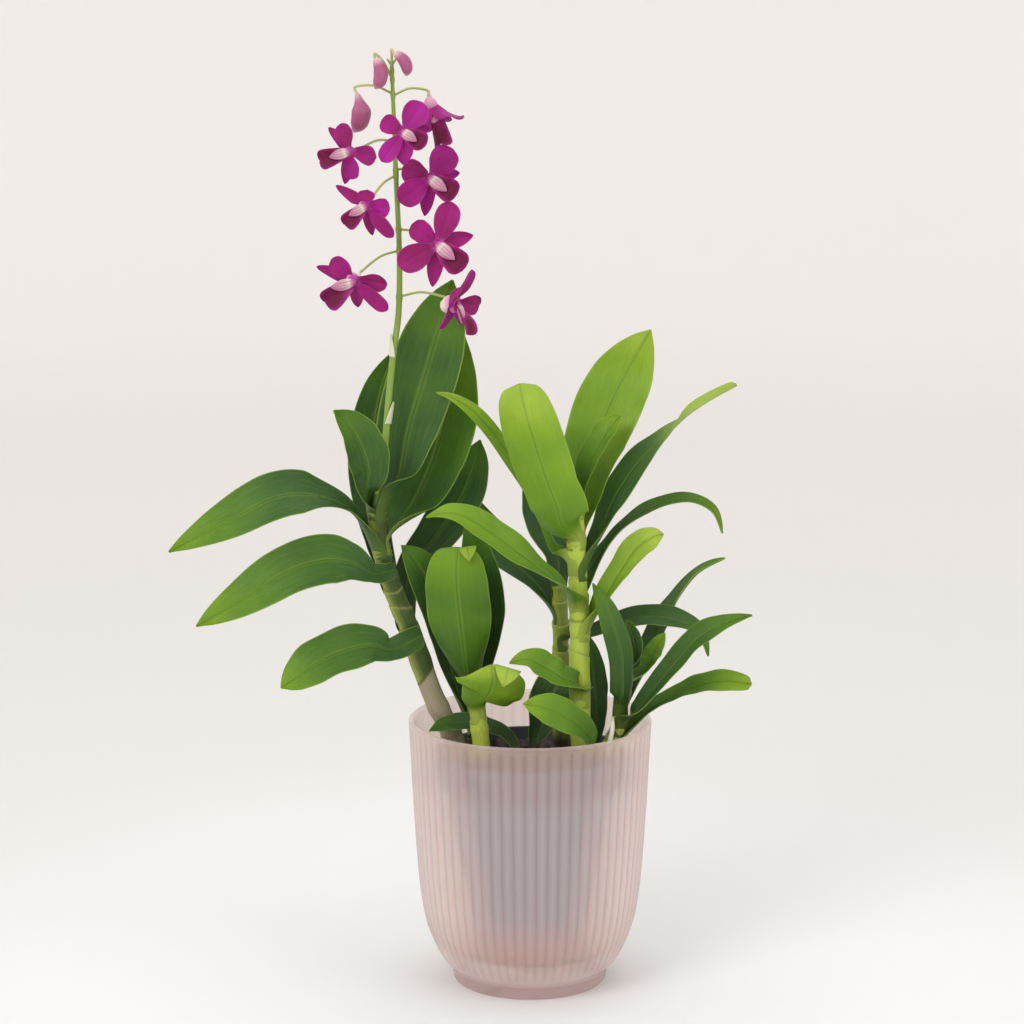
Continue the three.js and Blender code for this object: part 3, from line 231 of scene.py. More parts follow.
# Where a leaf's tip is turned over: the two corners of the fold, then the point of the flap.
FOLDS = {
    "leaf_f1": ((-40.4, -10, 255.9), (-30.8, -10, 258.8), (-34.7, -13, 249.6)),
    "leaf_f3": ((-19.4, -36, 195.8), (-5.3, -36, 190.6), (-15.5, -39, 182.7)),
}
FOLD_TONE = 0.95
FOLD_THICK = 0.5
FOLD_BULGE = 1.2
FOLD_BEND = 0.3

SPIKE_LINE = [
    (-87, -5, 280.3), (-85, -3, 300), (-82, -1, 317), (-80, 0, 340), (-77, 0, 368), (-74, 0, 391),
    (-73.5, 0, 425), (-75, 0, 464), (-76, 0, 497), (-77, 0, 529),
]
SPIKE_RADII = (2.3, 1.8, 1)
# The spike is thicker where a stalklet leaves it: by how much, and over what length.
SPIKE_SWELL = 0.35
SPIKE_SWELL_LENGTH = 1.6
# A bloom: its middle, the ways it faces and its top points, its size, and the height of its stalklet on
# the spike. Then turn, length and width of its tepals, in the order of TEPALS, and of its lip.
Bloom = namedtuple("Bloom", "centre face top size stalk tepals closing spur blush",
                   defaults=([()] * 6, 0, 1, 0))
BLOOMS = {
    "bloom_1": Bloom(
        (-99.5, -8, 480), (-0.5, -0.85, -0.1), (0.97, 0, 0.26), 0.95, 485,
        [(26, 14.5, 12), (108, 15, 12), (-98, 15.5, 13), (126, 20, 9.5), (-128, 19.5, 8), (178, 15, 13.5)]),
    "bloom_2": Bloom(
        (-70, -19, 491), (0.05, -0.98, 0.15), (-0.77, 0, 0.64), 0.95, 492,
        [(-10, 13, 11.5), (83, 19, 15.5), (-92, 19.4, 11), (130, 14, 8), (-130, 17, 12), (174, 13.5, 14)]),
    "bloom_3": Bloom(
        (-54.5, 8, 504), (0.35, -0.1, -0.93), (0.3, 1, 0), 1, 510, closing=12, blush=0.75),
    "bloom_4": Bloom(
        (-56, -3, 465), (0.15, -0.98, 0), (-0.77, 0, 0.64), 1.1, 469,
        [(-20, 13, 12.5), (87, 17, 15), (-78, 18, 13.5), (132, 14, 8), (-123, 18, 8), (174, 13, 14)]),
    "bloom_5": Bloom(
        (-91, -19, 451), (-0.2, -0.95, -0.2), (0.9, 0, 0.42), 0.9, 466,
        [(34, 13, 13), (75, 24, 9.5), (-60, 8, 11), (107, 18.5, 8), (-126, 20.5, 8), (163, 13.5, 13)]),
    "bloom_6": Bloom(
        (-51.5, -16, 429), (0.1, -0.99, 0.05), (-0.73, 0, 0.68), 1.2, 436,
        [(-5, 13.5, 10.5), (66, 19, 12), (-71, 19, 13), (123, 15.5, 8), (-126, 18, 8), (181, 14, 14)]),
    "bloom_7": Bloom(
        (-98, -12, 409), (-0.3, -0.88, -0.35), (1, 0, 0.1), 1.1, 424,
        [(8, 15, 10), (47, 21, 9.5), (-135, 14, 12), (95, 15.5, 8), (-167, 20, 8), (148, 14.5, 14)]),
    "bloom_8": Bloom(
        (-42, -8, 396), (0.75, -0.6, -0.28), (0.38, 0, 0.92), 1, 398,
        [(-5, 20, 9), (80, 15, 12), (-70, 15, 13), (140, 14, 8), (-150, 18, 8), (180, 13, 13)],
        closing=6, spur=1.6),
}
Bud = namedtuple("Bud", "centre heading length bend stalk crown")
BUDS = {
    "bud_1": Bud((-86, -6, 522.5), (0, 0, -1), 17, 0.13, 519, 0.17),
    "bud_2": Bud((-72.2, -4, 527.3), (0.56, 0, -1), 14.5, 0.15, 524, 0.17),
    "bud_3": Bud((-98, 6, 501), (-0.05, 0, -1), 23, 0.1, 511, 0.06),
}
ROOT_LINE = [(41, -21, 119), (43.5, -21.5, 138), (46.5, -20, 152), (47, -17.5, 160)]
# Half-width along a leaf or tepal, base to tip: share of the length, share of the half-width.
POINTED = [(0, 0.66), (0.2, 0.86), (0.42, 1), (0.62, 0.95), (0.8, 0.68), (0.92, 0.36), (1, 0.03)]
BLUNT = [(0, 0.6), (0.2, 0.85), (0.42, 1), (0.65, 0.98), (0.84, 0.86), (0.94, 0.68), (0.985, 0.45), (1, 0.1)]
SEPAL_OUTLINE = [(0, 0.45), (0.15, 0.72), (0.35, 1), (0.6, 0.88), (0.8, 0.6), (0.94, 0.27), (1, 0.05)]
DORSAL_OUTLINE = [(0, 0.42), (0.2, 0.66), (0.5, 0.96), (0.72, 1), (0.9, 0.74), (0.98, 0.4), (1, 0.1)]
PETAL_OUTLINE = [(0, 0.26), (0.15, 0.5), (0.35, 0.84), (0.6, 1), (0.8, 0.9), (0.93, 0.6), (1, 0.1)]
LIP_OUTLINE = [(0, 0.42), (0.15, 0.62), (0.35, 0.78), (0.55, 0.92), (0.76, 1), (0.92, 0.74), (1, 0.14)]

# Tepals and lip: length, width, level in front of the bloom's middle, lean, hollow (cup) and outline. Turn
# is in degrees from the bloom's top.
SEPAL = dict(length=17, width=9, level=-0.7, lean=-2, cup=0.35, outline=SEPAL_OUTLINE)
PETAL = dict(length=17.5, width=15, level=0.6, lean=-1, cup=0.3, outline=PETAL_OUTLINE)
LIP = dict(turn=180, length=14, width=13, level=1.9, lean=8, cup=0.95, outline=LIP_OUTLINE)
TEPALS = [
    dict(SEPAL, turn=0, length=16, width=10, lean=-1, outline=DORSAL_OUTLINE),
    dict(PETAL, turn=76),
    dict(PETAL, turn=-76),
    dict(SEPAL, turn=138),
    dict(SEPAL, turn=-138),
]
COLUMN_LINE = [(0, 1.6, 1.5), (0, -1.3, 4), (0, -4.1, 6.3), (0, -7.0, 8.2), (0, -9.6, 9.4)]
COLUMN_RADII = (0.9, 2.7, 3.2, 2.2, 0.3)
COLUMN_FLAT = 0.5
TEPAL_START = 1.7
CLOSED_LENGTH = 15
OVARY_LENGTH = 7
OVARY_RADII = (1.5, 1.3, 1.0)
SPUR_LINE = [(0, 0, 1), (0, -2, -1.5), (0, -3.4, -3.5), (0, -3.6, -5.5)]
SPUR_RADII = (3.0, 3.3, 2.8, 0.8)
STALKLET_RADIUS = 0.8
STALKLET_STRAIGHT = 3
STALKLET_SUNK = 0.6
STALKLET_RISE = 2.5
# Bracts: share of the spike's line, side.
BRACTS = [(0.27, 1), (0.43, -1)]
BRACT_LENGTH = 13
BRACT_THICK = 0.35
# Half-width and bend of a bract, foot and tip.
BRACT_HALF = (3.2, 0.4)
BRACT_BEND = (1.3, 0.6)
ROOT_RADIUS = 1.3

# ---- fineness ----
POT_COLUMNS = RIB_COUNT * 12
LEAF_ROWS_SHEATH = 18
LEAF_ROWS_BLADE = 40
CANE_ROW = 0.5
CANE_SIDES = 40
TEPAL_ROWS = 22
FOLD_ROWS = 10
BRACT_ROWS = 16
HALF_ACROSS = [0.07, 0.18, 0.33, 0.5, 0.66, 0.8, 0.9, 0.96, 1]
ACROSS = np.array([-x for x in reversed(HALF_ACROSS)] + [0] + HALF_ACROSS)


# ---- curves ----
def unit(vectors):
    vectors = np.asarray(vectors, float)
    return vectors / np.linalg.norm(vectors, axis=-1, keepdims=True)


def mix(start, end, share):
    return start + (end - start) * share


def fade(values, full, none):
    """1 where values are full or beyond, 0 from none on, straight in between."""
    return np.clip((values - none) / (full - none), 0, 1)


def turns(count):
    """Evenly spaced angles of one full turn."""
    return np.arange(count) / count * FULL_TURN


def hermite(u, start, slope_in, end, slope_out):
    return (
        (2 * u**3 - 3 * u**2 + 1) * start
        + (u**3 - 2 * u**2 + u) * slope_in
        + (3 * u**2 - 2 * u**3) * end
        + (u**3 - u**2) * slope_out
    )


def along(points, places):
    """Points on the smooth curve through a list, at places counted in list steps."""
    points = np.asarray(points, float)
    places = np.atleast_1d(np.asarray(places, float))
    index = np.clip(np.floor(places).astype(int), 0, len(points) - 2)
    padded = np.vstack([2 * points[0] - points[1], points, 2 * points[-1] - points[-2]])
    before, start, end, after = (padded[index + k] for k in range(4))
    u = (places - index)[:, None]
    return hermite(u, start, (end - before) / 2, end, (after - start) / 2)


def heading(points, places):
    near = 0.02
    ahead = along(points, np.minimum(np.asarray(places) + near, len(points) - 1))
    behind = along(points, np.maximum(np.asarray(places) - near, 0))
    return unit(ahead - behind)


def smooth_value(pairs, places):
    """Values on a smooth curve, with no overshoot, through pairs of place and value."""
    x, y = np.array(pairs, float).T
    rise = np.diff(y) / np.diff(x)
    slope = np.zeros(len(x))
    product = rise[1:] * rise[:-1]
    slope[1:-1] = np.where(product > 0, 2 * product / np.where(product > 0, rise[1:] + rise[:-1], 1), 0)
    slope[0], slope[-1] = rise[0], rise[-1]
    places = np.clip(places, x[0], x[-1])
    index = np.clip(np.searchsorted(x, places, side="right") - 1, 0, len(x) - 2)
    width = x[index + 1] - x[index]
    u = (places - x[index]) / width
    return hermite(u, y[index], width * slope[index], y[index + 1], width * slope[index + 1])


def place_at_height(points, height):
    places = np.arange(0, len(points) - 1, 0.01)
    above = along(points, places)[:, 2] >= height
    return places[np.argmax(above)] if above.any() else len(points) - 1.0


def radius_on(radii, share):
    """The radius of a cane or stalk between its radii at foot, middle and top."""
    return np.interp(share, [0, 0.5, 1], radii)


# ---- meshes ----
def linked(name, data):
    """A new object in the scene."""
    found = bpy.data.objects.new(name, data)
    bpy.context.scene.collection.objects.link(found)
    return found


class Shape:
    """Points, faces, UVs and named point values that are gathered before a mesh is made."""

    def __init__(self):
        self.points, self.faces, self.uvs, self.values = [], [], [], {}
        self.count = 0

    def add(self, points, faces, uv=None, **values):
        self.faces += [tuple(k + self.count for k in face) for face in faces]
        self.points.append(points)
        self.uvs.append(np.zeros((len(points), 2)) if uv is None else uv)
        for key in set(values) | set(self.values):
            kept = self.values.setdefault(key, [np.zeros(self.count)])
            kept.append(np.broadcast_to(np.ravel(values.get(key, 0.0)), (len(points),)) * 1.0)
        self.count += len(points)
        return self

    def made(self, name, finish):
        """The mesh as an object in the scene."""
        mesh = bpy.data.meshes.new(name)
        mesh.from_pydata((np.vstack(self.points) * MM).tolist(), [], self.faces)
        layer = mesh.uv_layers.new(name="UVMap")
        index = np.zeros(len(mesh.loops), np.int32)
        mesh.loops.foreach_get("vertex_index", index)
        layer.data.foreach_set("uv", np.vstack(self.uvs)[index].astype(np.float32).ravel())
        for key, lists in self.values.items():
            held = mesh.attributes.new(key, "FLOAT", "POINT")
            held.data.foreach_set("value", np.concatenate(lists).astype(np.float32))
        mesh.polygons.foreach_set("use_smooth", [True] * len(mesh.polygons))
        mesh.materials.append(finish)
        mesh.update()
        return linked(name, mesh)

    def piece(self, name, finish, slot, stands_for=None):
        found = self.made(name, finish)
        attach(found, "root")
        if stands_for:
            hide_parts(stands_for)


def grid(rows, columns, wrap=False):
    """Quads between the neighbouring points of a grid that is listed row by row."""
    span = columns if wrap else columns - 1
    return [
        (r * columns + c, r * columns + (c + 1) % columns,
         (r + 1) * columns + (c + 1) % columns, (r + 1) * columns + c)
        for r in range(rows - 1) for c in range(span)
    ]


def closed_rings(rows, sides):
    """Faces of a form whose rings of points are followed by its low and its high end point."""
    low, top = rows * sides, (rows - 1) * sides
    faces = grid(rows, sides, wrap=True)
    faces += [(low, (k + 1) % sides, k) for k in range(sides)]
    faces += [(low + 1, top + k, top + (k + 1) % sides) for k in range(sides)]
    return faces


def grid_uv(across, share):
    return np.stack(np.broadcast_arrays(across[None], share[:, None]), -1).reshape(-1, 2)


def rings(pairs, sides, radius_change=None):
    """Rings of points round the upright axis, from radius and height pairs."""
    pairs = np.array(pairs, float)
    angle = turns(sides)
    radius = np.repeat(pairs[:, :1], sides, axis=1)
    if radius_change is not None:
        radius = radius - radius_change(angle)
    height = np.repeat(pairs[:, 1:], sides, axis=1)
    return np.stack([radius * np.cos(angle), radius * np.sin(angle), height], axis=-1).reshape(-1, 3)


def turned(pairs, sides, radius_change=None):
    """A turned closed shape from radius and height pairs, axis to axis, bottom first."""
    ring = rings(pairs[1:-1], sides, radius_change)
    points = np.vstack([ring, [0, 0, pairs[0][1]], [0, 0, pairs[-1][1]]])
    return points, closed_rings(len(pairs) - 2, sides)


def tube(line, radius_at, rows, sides, lobes=None):
    """Points, faces and UVs of a round stem along a smooth line, closed at both ends."""
    last = len(line) - 1
    share = np.linspace(0, 1, rows)
    centres, ahead = along(line, share * last), heading(line, share * last)
    side, ways = np.array([1.0, 0, 0]), []
    for direction in ahead:
        side = unit(side - direction * side.dot(direction))
        ways.append(side)
    first = np.array(ways)[:, None]
    second = np.cross(ahead, first[:, 0])[:, None]
    turn = turns(sides)[None, :, None]
    out = first * np.cos(turn) + second * np.sin(turn)
    radius = np.broadcast_to(np.asarray(radius_at(share), float).reshape(rows, -1), (rows, sides))
    if lobes is not None:
        radius = radius * lobes(turn[..., 0])
    ring = centres[:, None] + out * radius[..., None]
    points = np.vstack([ring.reshape(-1, 3), centres[0], centres[-1]])
    uv = np.vstack([grid_uv(np.arange(sides) / sides, share), [0.5, 0], [0.5, 1]])
    return points, closed_rings(rows, sides), uv


def sheet_faces(rows, columns):
    """Faces of a closed sheet: the upper grid, the lower one turned over, and the four sides."""
    total, end = rows * columns, (rows - 1) * columns
    quads = grid(rows, columns)
    faces = quads + [tuple(total + k for k in reversed(face)) for face in quads]
    for left in range(0, end, columns):
        right = left + columns - 1
        faces.append((left, left + columns, total + left + columns, total + left))
        faces.append((right, total + right, total + right + columns, right + columns))
    for k in range(columns - 1):
        faces.append((k, total + k, total + k + 1, k + 1))
        faces.append((end + k, end + k + 1, total + end + k + 1, total + end + k))
    return faces


# The course of a blade: its midrib, the ways it runs and faces, shares of its length, half-width and bend.
Run = namedtuple("Run", "centre direction facing share half bend")


def blade(run, thick, relief=0.0):
    """Points, faces and UVs of a thin closed blade whose sections are arcs along a midrib."""
    rows, columns = len(run.share), len(ACROSS)
    side = unit(np.cross(run.direction, run.facing))
    normal = unit(np.cross(side, run.direction))
    side, normal = (np.broadcast_to(way, (rows, 3))[:, None] for way in (side, normal))
    bend = np.broadcast_to(run.bend, rows)[:, None]
    turn = (bend * ACROSS)[..., None]
    radius = (run.half[:, None] / bend)[..., None]
    raised, thick = (np.broadcast_to(x, (rows, columns))[..., None] for x in (relief, thick))
    lift = normal * (radius * (1 - np.cos(turn)) + raised)
    upper = run.centre[:, None] + side * radius * np.sin(turn) + lift
    lower = upper + (side * np.sin(turn) - normal * np.cos(turn)) * thick
    uv = grid_uv((ACROSS + 1) / 2, run.share)
    points = np.vstack([upper.reshape(-1, 3), lower.reshape(-1, 3)])
    return points, sheet_faces(rows, columns), np.vstack([uv, uv])


def thinned(thick, edge):
    """A blade's thickness, down to a share of it at the edges."""
    return thick * (edge + (1 - edge) * (1 - ACROSS[None] ** 4))


def rib_groove(half, depth, width):
    return -depth * np.exp(-((ACROSS[None] * half[:, None] / width) ** 2))


# ---- materials ----
# Heights in metres between which a stem changes from the dark of its foot among the bark, partly its own
# darker old parts and partly painted shade of the pot's dark inside, to its own colour.
DARK_FOOT_AND_SHADE_LINE = (0.134, 0.143)


def rgb(red, green, blue):
    """A colour given as the eye sees it on a screen, 0 to 255, as the shader takes it."""
    def linear(x):
        x = x / 255
        return x / 12.92 if x <= 0.04045 else ((x + 0.055) / 1.055) ** 2.4
    return (linear(red), linear(green), linear(blue), 1.0)


class Paint:
    """A procedural material in the making: a method adds nodes and gives their output.

    Colours are tuples from 0 to 255. The body colour is set first, then layers are laid over it.
    """

    def __init__(self, name, **settings):
        self.material = bpy.data.materials.new(name)
        self.material.use_nodes = True
        self.tree = self.material.node_tree
        self.shader = self.tree.nodes["Principled BSDF"]
        self.body = None
        for key, value in settings.items():
            self.shader.inputs[key.replace("_", " ")].default_value = value

    def feed(self, socket, value):
        if isinstance(value, bpy.types.NodeSocket):
            self.tree.links.new(value, socket)
        else:
            socket.default_value = value

    def add(self, kind, inputs, **settings):
        node = self.tree.nodes.new(kind)
        for key, value in settings.items():
            setattr(node, key, value)
        for key, value in inputs.items():
            self.feed(node.inputs[key], value)
        return node

    def math(self, operation, first, second=0.0, third=0.0, clamp=False):
        return self.add("ShaderNodeMath", {0: first, 1: second, 2: third}, operation=operation,
                        use_clamp=clamp).outputs[0]

    def span(self, value, low, high, start=0.0, end=1.0):
        """The value's place between low and high, eased, as start to end."""
        return self.add("ShaderNodeMapRange", {0: value, 1: low, 2: high, 3: start, 4: end},
                        interpolation_type="SMOOTHSTEP").outputs[0]

    def mix(self, share, first, second):
        first, second = (rgb(*x) if isinstance(x, tuple) else x for x in (first, second))
        return self.add("ShaderNodeMix", {0: share, 6: first, 7: second}, data_type="RGBA").outputs[2]

    def ramp(self, value, stops):
        """Colours for values from 0 to 1: a list of place and colour."""
        node = self.add("ShaderNodeValToRGB", {"Fac": value})
        while len(node.color_ramp.elements) < len(stops):
            node.color_ramp.elements.new(0.5)
        for element, (place, colour) in zip(node.color_ramp.elements, stops):
            element.position, element.color = place, rgb(*colour)
        return node.outputs["Color"]

    def value(self, name):
        return self.add("ShaderNodeAttribute", {}, attribute_name=name).outputs["Fac"]

    def layer(self, share, colour, most=1.0):
        """Lays a colour over the body, by an output or by the name of a point value."""
        if isinstance(share, str):
            share = self.value(share)
        if most < 1:
            share = self.math("MULTIPLY", share, most)
        self.body = self.mix(share, self.body, colour)

    def uv(self):
        """Places across a piece and along it, then 0 on its midrib to 1 at its edges."""
        found = self.add("ShaderNodeUVMap", {}, uv_map="UVMap")
        across, along_it, _ = self.add("ShaderNodeSeparateXYZ", {0: found.outputs[0]}).outputs
        off_middle = self.math("ABSOLUTE", self.math("SUBTRACT", across, 0.5))
        return across, along_it, self.math("MULTIPLY", off_middle, 2.0)

    def noise(self, scale, detail=2.0, stretch=(1, 1, 1), source="Object"):
        where = self.add("ShaderNodeTexCoord", {}).outputs[source]
        mapped = self.add("ShaderNodeMapping", {"Vector": where, "Scale": stretch})
        return self.add("ShaderNodeTexNoise", {"Vector": mapped.outputs[0], "Scale": scale,
                                               "Detail": detail}).outputs[0]

    def lines(self, value, count, sharp=1.0):
        """Even lines: 0 between them, 1 on them."""
        wave = self.math("SINE", self.math("MULTIPLY", value, count * FULL_TURN))
        return self.math("POWER", self.math("MULTIPLY_ADD", wave, 0.5, 0.5), sharp)

    def dark_foot_and_shade(self):
        """Turns the body dark and dull low down among the bark: partly its own darker old parts, partly
        painted shade of the pot's dark inside.
        """
        place = self.add("ShaderNodeTexCoord", {}).outputs["Object"]
        height = self.add("ShaderNodeSeparateXYZ", {0: place}).outputs[2]
        self.layer(self.span(height, *DARK_FOOT_AND_SHADE_LINE, 0.92, 0.0), (78, 66, 60))

    def done(self, relief=None, distance=0.0):
        """The material with its body colour and the bump of its relief."""
        if relief is not None:
            node = self.add("ShaderNodeBump", {"Height": relief, "Distance": distance, "Strength": 1.0})
            self.feed(self.shader.inputs["Normal"], node.outputs[0])
        self.feed(self.shader.inputs["Base Color"], self.body)
        return self.material


def leaf_paint():
    paint = Paint("leaf_skin", Roughness=0.34, Specular_IOR_Level=0.26)
    u, v, edge = paint.uv()
    mottle = paint.noise(38, 3)
    tone = paint.math("ADD", paint.value("tone"), paint.math("MULTIPLY_ADD", mottle, 0.3, -0.15))
    tone = paint.math("ADD", tone, paint.span(v, 0.0, 0.45, -0.12, 0.0))
    tone = paint.math("ADD", tone, paint.span(v, 0.5, 1.0, 0.0, 0.26), clamp=True)
    paint.body = paint.ramp(tone, [
        (0.0, (38, 66, 38)), (0.2, (52, 88, 34)), (0.45, (82, 124, 22)), (0.75, (129, 165, 34)),
        (1.0, (174, 201, 74)),
    ])
    uneven = paint.noise(5, 2, (16, 1.2, 1), "UV")
    paint.layer(paint.span(uneven, 0.35, 0.75, 0.0, 0.26), (92, 132, 42))
    paint.layer(paint.lines(u, 9, 2.0), (140, 172, 80), 0.03)
    # Painted highlight in a band on each side of the midrib, then painted shade in the midrib's crease.
    near, nearest = (paint.span(edge, *limits, 0.22, 0.0) for limits in ((0.04, 0.14), (0.0, 0.04)))
    paint.layer(paint.math("SUBTRACT", near, nearest), (140, 172, 66))
    paint.layer(paint.span(edge, 0.01, 0.045, 0.27, 0.0), (46, 82, 20))
    paint.layer(paint.span(edge, 0.94, 0.995, 0.0, 0.5), (158, 186, 76))
    pale = paint.mix(paint.noise(60, 2, (1, 1, 0.15)), (126, 150, 52), (160, 178, 76))
    sheath = paint.mix(paint.span(paint.value("tone"), 0.25, 0.5), (74, 100, 36), pale)
    paint.layer("collar", sheath)
    paint.dark_foot_and_shade()
    fold_line = paint.span(edge, 0.0, 0.12, -1.2, 0.0)
    return paint.done(paint.math("ADD", paint.math("ADD", uneven, mottle), fold_line), 0.0003)


def cane_paint():
    paint = Paint("cane_skin", Roughness=0.42, Specular_IOR_Level=0.35)
    u, _, _ = paint.uv()
    streak = paint.noise(9, 3, (9, 1.2, 1), "UV")
    paint.body = paint.ramp(streak, [(0.3, (88, 112, 38)), (0.5, (142, 156, 56)), (0.7, (178, 184, 84))])
    paint.layer("young", (176, 198, 70))
    paint.layer("shade", paint.mix(streak, (40, 62, 20), (74, 94, 34)))
    paint.layer("papery", paint.mix(streak, (122, 112, 86), (190, 180, 152)))
    paint.layer("rim", (176, 182, 100))
    # Painted shadow just above each sheath mouth, and the brown edge of the papery part.
    paint.layer("under", (88, 78, 36))
    paint.dark_foot_and_shade()
    return paint.done(paint.math("ADD", paint.lines(u, 26), streak), 0.00015)


def stalk_paint():
    paint = Paint("stalk_skin", Roughness=0.45)
    u, _, _ = paint.uv()
    paint.body = paint.mix(paint.noise(70, 2, (1, 1, 0.2)), (110, 142, 52), (158, 184, 82))
    paint.layer("pale", (206, 208, 140))
    paint.layer("papery", (226, 226, 200))
    return paint.done(paint.lines(u, 9), 0.0001)


def petal_paint():
    paint = Paint("petal_skin", Roughness=0.5, Specular_IOR_Level=0.3)
    u, v, edge = paint.uv()
    cloud = paint.span(paint.noise(70, 2), 0.35, 0.65)
    veins = paint.lines(u, 9, 6.0)
    paint.body = paint.mix(paint.value("tone"), (170, 14, 142), (148, 10, 92))
    paint.layer(cloud, (126, 8, 74), 0.55)
    paint.layer(veins, (104, 4, 84), 0.22)
    # Painted sheen along the edges and at the tip.
    paint.layer(paint.span(edge, 0.9, 1.0, 0.0, 0.5), (206, 60, 168))
    paint.layer(paint.span(v, 0.95, 1.0, 0.0, 0.35), (206, 60, 168))
    paint.layer(paint.span(v, 0.0, 0.14, 0.35, 0.0), (214, 110, 180))
    return paint.done(paint.math("ADD", veins, cloud), 0.0001)


def lip_paint():
    paint = Paint("lip_skin", Roughness=0.5, Specular_IOR_Level=0.3)
    u, v, edge = paint.uv()
    veins = paint.lines(u, 11, 4.0)
    rim = paint.math("MAXIMUM", paint.span(edge, 0.55, 0.95), paint.span(v, 0.84, 1.0))
    paint.body = paint.mix(paint.noise(150, 3), (92, 2, 46), (122, 6, 70))
    paint.layer(veins, (70, 0, 38), 0.3)
    paint.layer(rim, (164, 18, 124), 0.8)
    paint.layer(paint.span(v, 0.1, 0.5, 0.8, 0.0), (196, 70, 150))
    return paint.done(veins, 0.00015)


def column_paint():
    paint = Paint("column_skin", Roughness=0.45, Subsurface_Weight=0.1)
    u, v, _ = paint.uv()
    veins = paint.lines(u, 8, 2.0)
    paint.body = paint.ramp(v, [
        (0.0, (170, 40, 130)), (0.16, (206, 120, 164)), (0.3, (242, 228, 212)), (0.42, (214, 178, 180)),
        (0.7, (200, 134, 164)), (1.0, (206, 140, 176)),
    ])
    paint.layer(veins, (178, 82, 130), 0.5)
    return paint.done(veins, 0.0002)


def spur_paint():
    paint = Paint("spur_skin", Roughness=0.5)
    _, v, _ = paint.uv()
    paint.body = paint.ramp(v, [
        (0.0, (190, 60, 160)), (0.25, (226, 170, 200)), (0.55, (240, 228, 214)), (1.0, (224, 222, 170)),
    ])
    paint.layer("blush", (206, 122, 176))
    return paint.done(paint.noise(200, 2), 0.0001)


def bud_paint():
    paint = Paint("bud_skin", Roughness=0.55, Sheen_Weight=0.15, Sheen_Roughness=0.4)
    u, v, _ = paint.uv()
    lengthwise = paint.lines(u, 9, 2.0)
    paint.body = paint.mix(paint.noise(90, 3), (150, 62, 100), (184, 104, 144))
    paint.layer(lengthwise, (140, 50, 100), 0.16)
    paint.layer(paint.span(v, 0.0, 0.3, 0.85, 0.0), (232, 192, 198))
    paint.layer(paint.span(v, 0.86, 1.0, 0.0, 0.6), (226, 190, 200))
    return paint.done(lengthwise, 0.0001)


def bark_paint():
    paint = Paint("bark_chips", Roughness=0.9)
    grain = paint.noise(160, 6, (1, 1, 2.5))
    paint.body = paint.ramp(grain, [(0.3, (20, 16, 15)), (0.55, (52, 42, 36)), (0.75, (88, 72, 60))])
    paint.layer("tone", (76, 60, 50))
    return paint.done(grain, 0.0008)


def nursery_paint():
    paint = Paint("grey_plastic", Roughness=0.55)
    paint.body = paint.mix(paint.noise(20, 2), (90, 134, 170), (102, 144, 178))
    paint.layer("lip", (64, 98, 128))
    paint.layer("low", (220, 190, 184))
    # Painted shade on the pot's inside.
    paint.layer("inside", (44, 48, 56))
    return paint.done(paint.noise(400, 2), 0.00005)


def glass_paint():
    paint = Paint("frosted_glass", Roughness=0.3, IOR=1.3, Transmission_Weight=0.66, Alpha=0.6,
                  Coat_Weight=0.6, Coat_Roughness=0.09)
    paint.body = paint.mix(paint.noise(14, 2), (254, 226, 216), (255, 232, 224))
    # Painted shade in the rib grooves, drawn as stripes on the smooth inside wall too.
    paint.layer("groove", (230, 196, 190))
    # Painted highlight along each rib's crest.
    paint.layer("ridge", (255, 250, 247), 0.36)
    # The darker foot, and a painted pink glow above it.
    paint.layer("foot", (224, 172, 164))
    return paint.done(paint.noise(700, 2), 0.00003)


def root_paint():
    paint = Paint("pale_root", Roughness=0.75)
    _, v, _ = paint.uv()
    paint.body = paint.mix(paint.noise(90, 4), (214, 210, 196), (240, 238, 230))
    paint.layer(paint.span(v, 0.8, 1.0, 0.0, 0.7), (168, 190, 110))
    paint.dark_foot_and_shade()
    return paint.done(paint.noise(250, 3), 0.0002)


def studio_paint():
    paint = Paint("studio_white", Roughness=0.9, Specular_IOR_Level=0.2)
    spot = paint.add("ShaderNodeTexCoord", {}).outputs["Object"]
    away = paint.add("ShaderNodeVectorMath", {0: spot}, operation="LENGTH").outputs["Value"]
    paint.body = paint.mix(paint.span(away, 0.2, 0.6), (240, 240, 239), (232, 229, 225))
    paint.layer(paint.span(away, 0.9, 1.8), (241, 237, 233))
    paint.layer(paint.span(away, 1.7, 2.7), (250, 247, 244))
    paint.layer(paint.noise(3, 1), (214, 213, 210), 0.04)
    return paint.done()


# ---- glass pot ----
# Rows of points on the outside: from one height to another, how many.
GLASS_ROWS = [(0, 16, 26), (16, 60, 20), (60, 146, 16), (146, GLASS_HEIGHT, 16)]
WALL_ROWS = 26
RIM_ZONE = 10
BOWL_ROWS = 8
BOWL_RISE = 4
# Painted shade of the ribs: how strong it is on the smooth inside wall and above what height it is drawn
# there, then how sharp it is in the grooves.
INNER_RIB_TONE = 0.5
INNER_RIBS_ABOVE = 60
GROOVE_SHARPNESS = 1.6
# Width of the painted highlight along each rib's crest.
RIDGE_WIDTH = 0.1
# Heights of the glass's darker foot and of the painted pink glow above it: full up to the first, none from
# the second.
FOOT_TINT = (6, 16)
LOW_GLOW = (14, 50)
LOW_GLOW_SHARE = 0.5


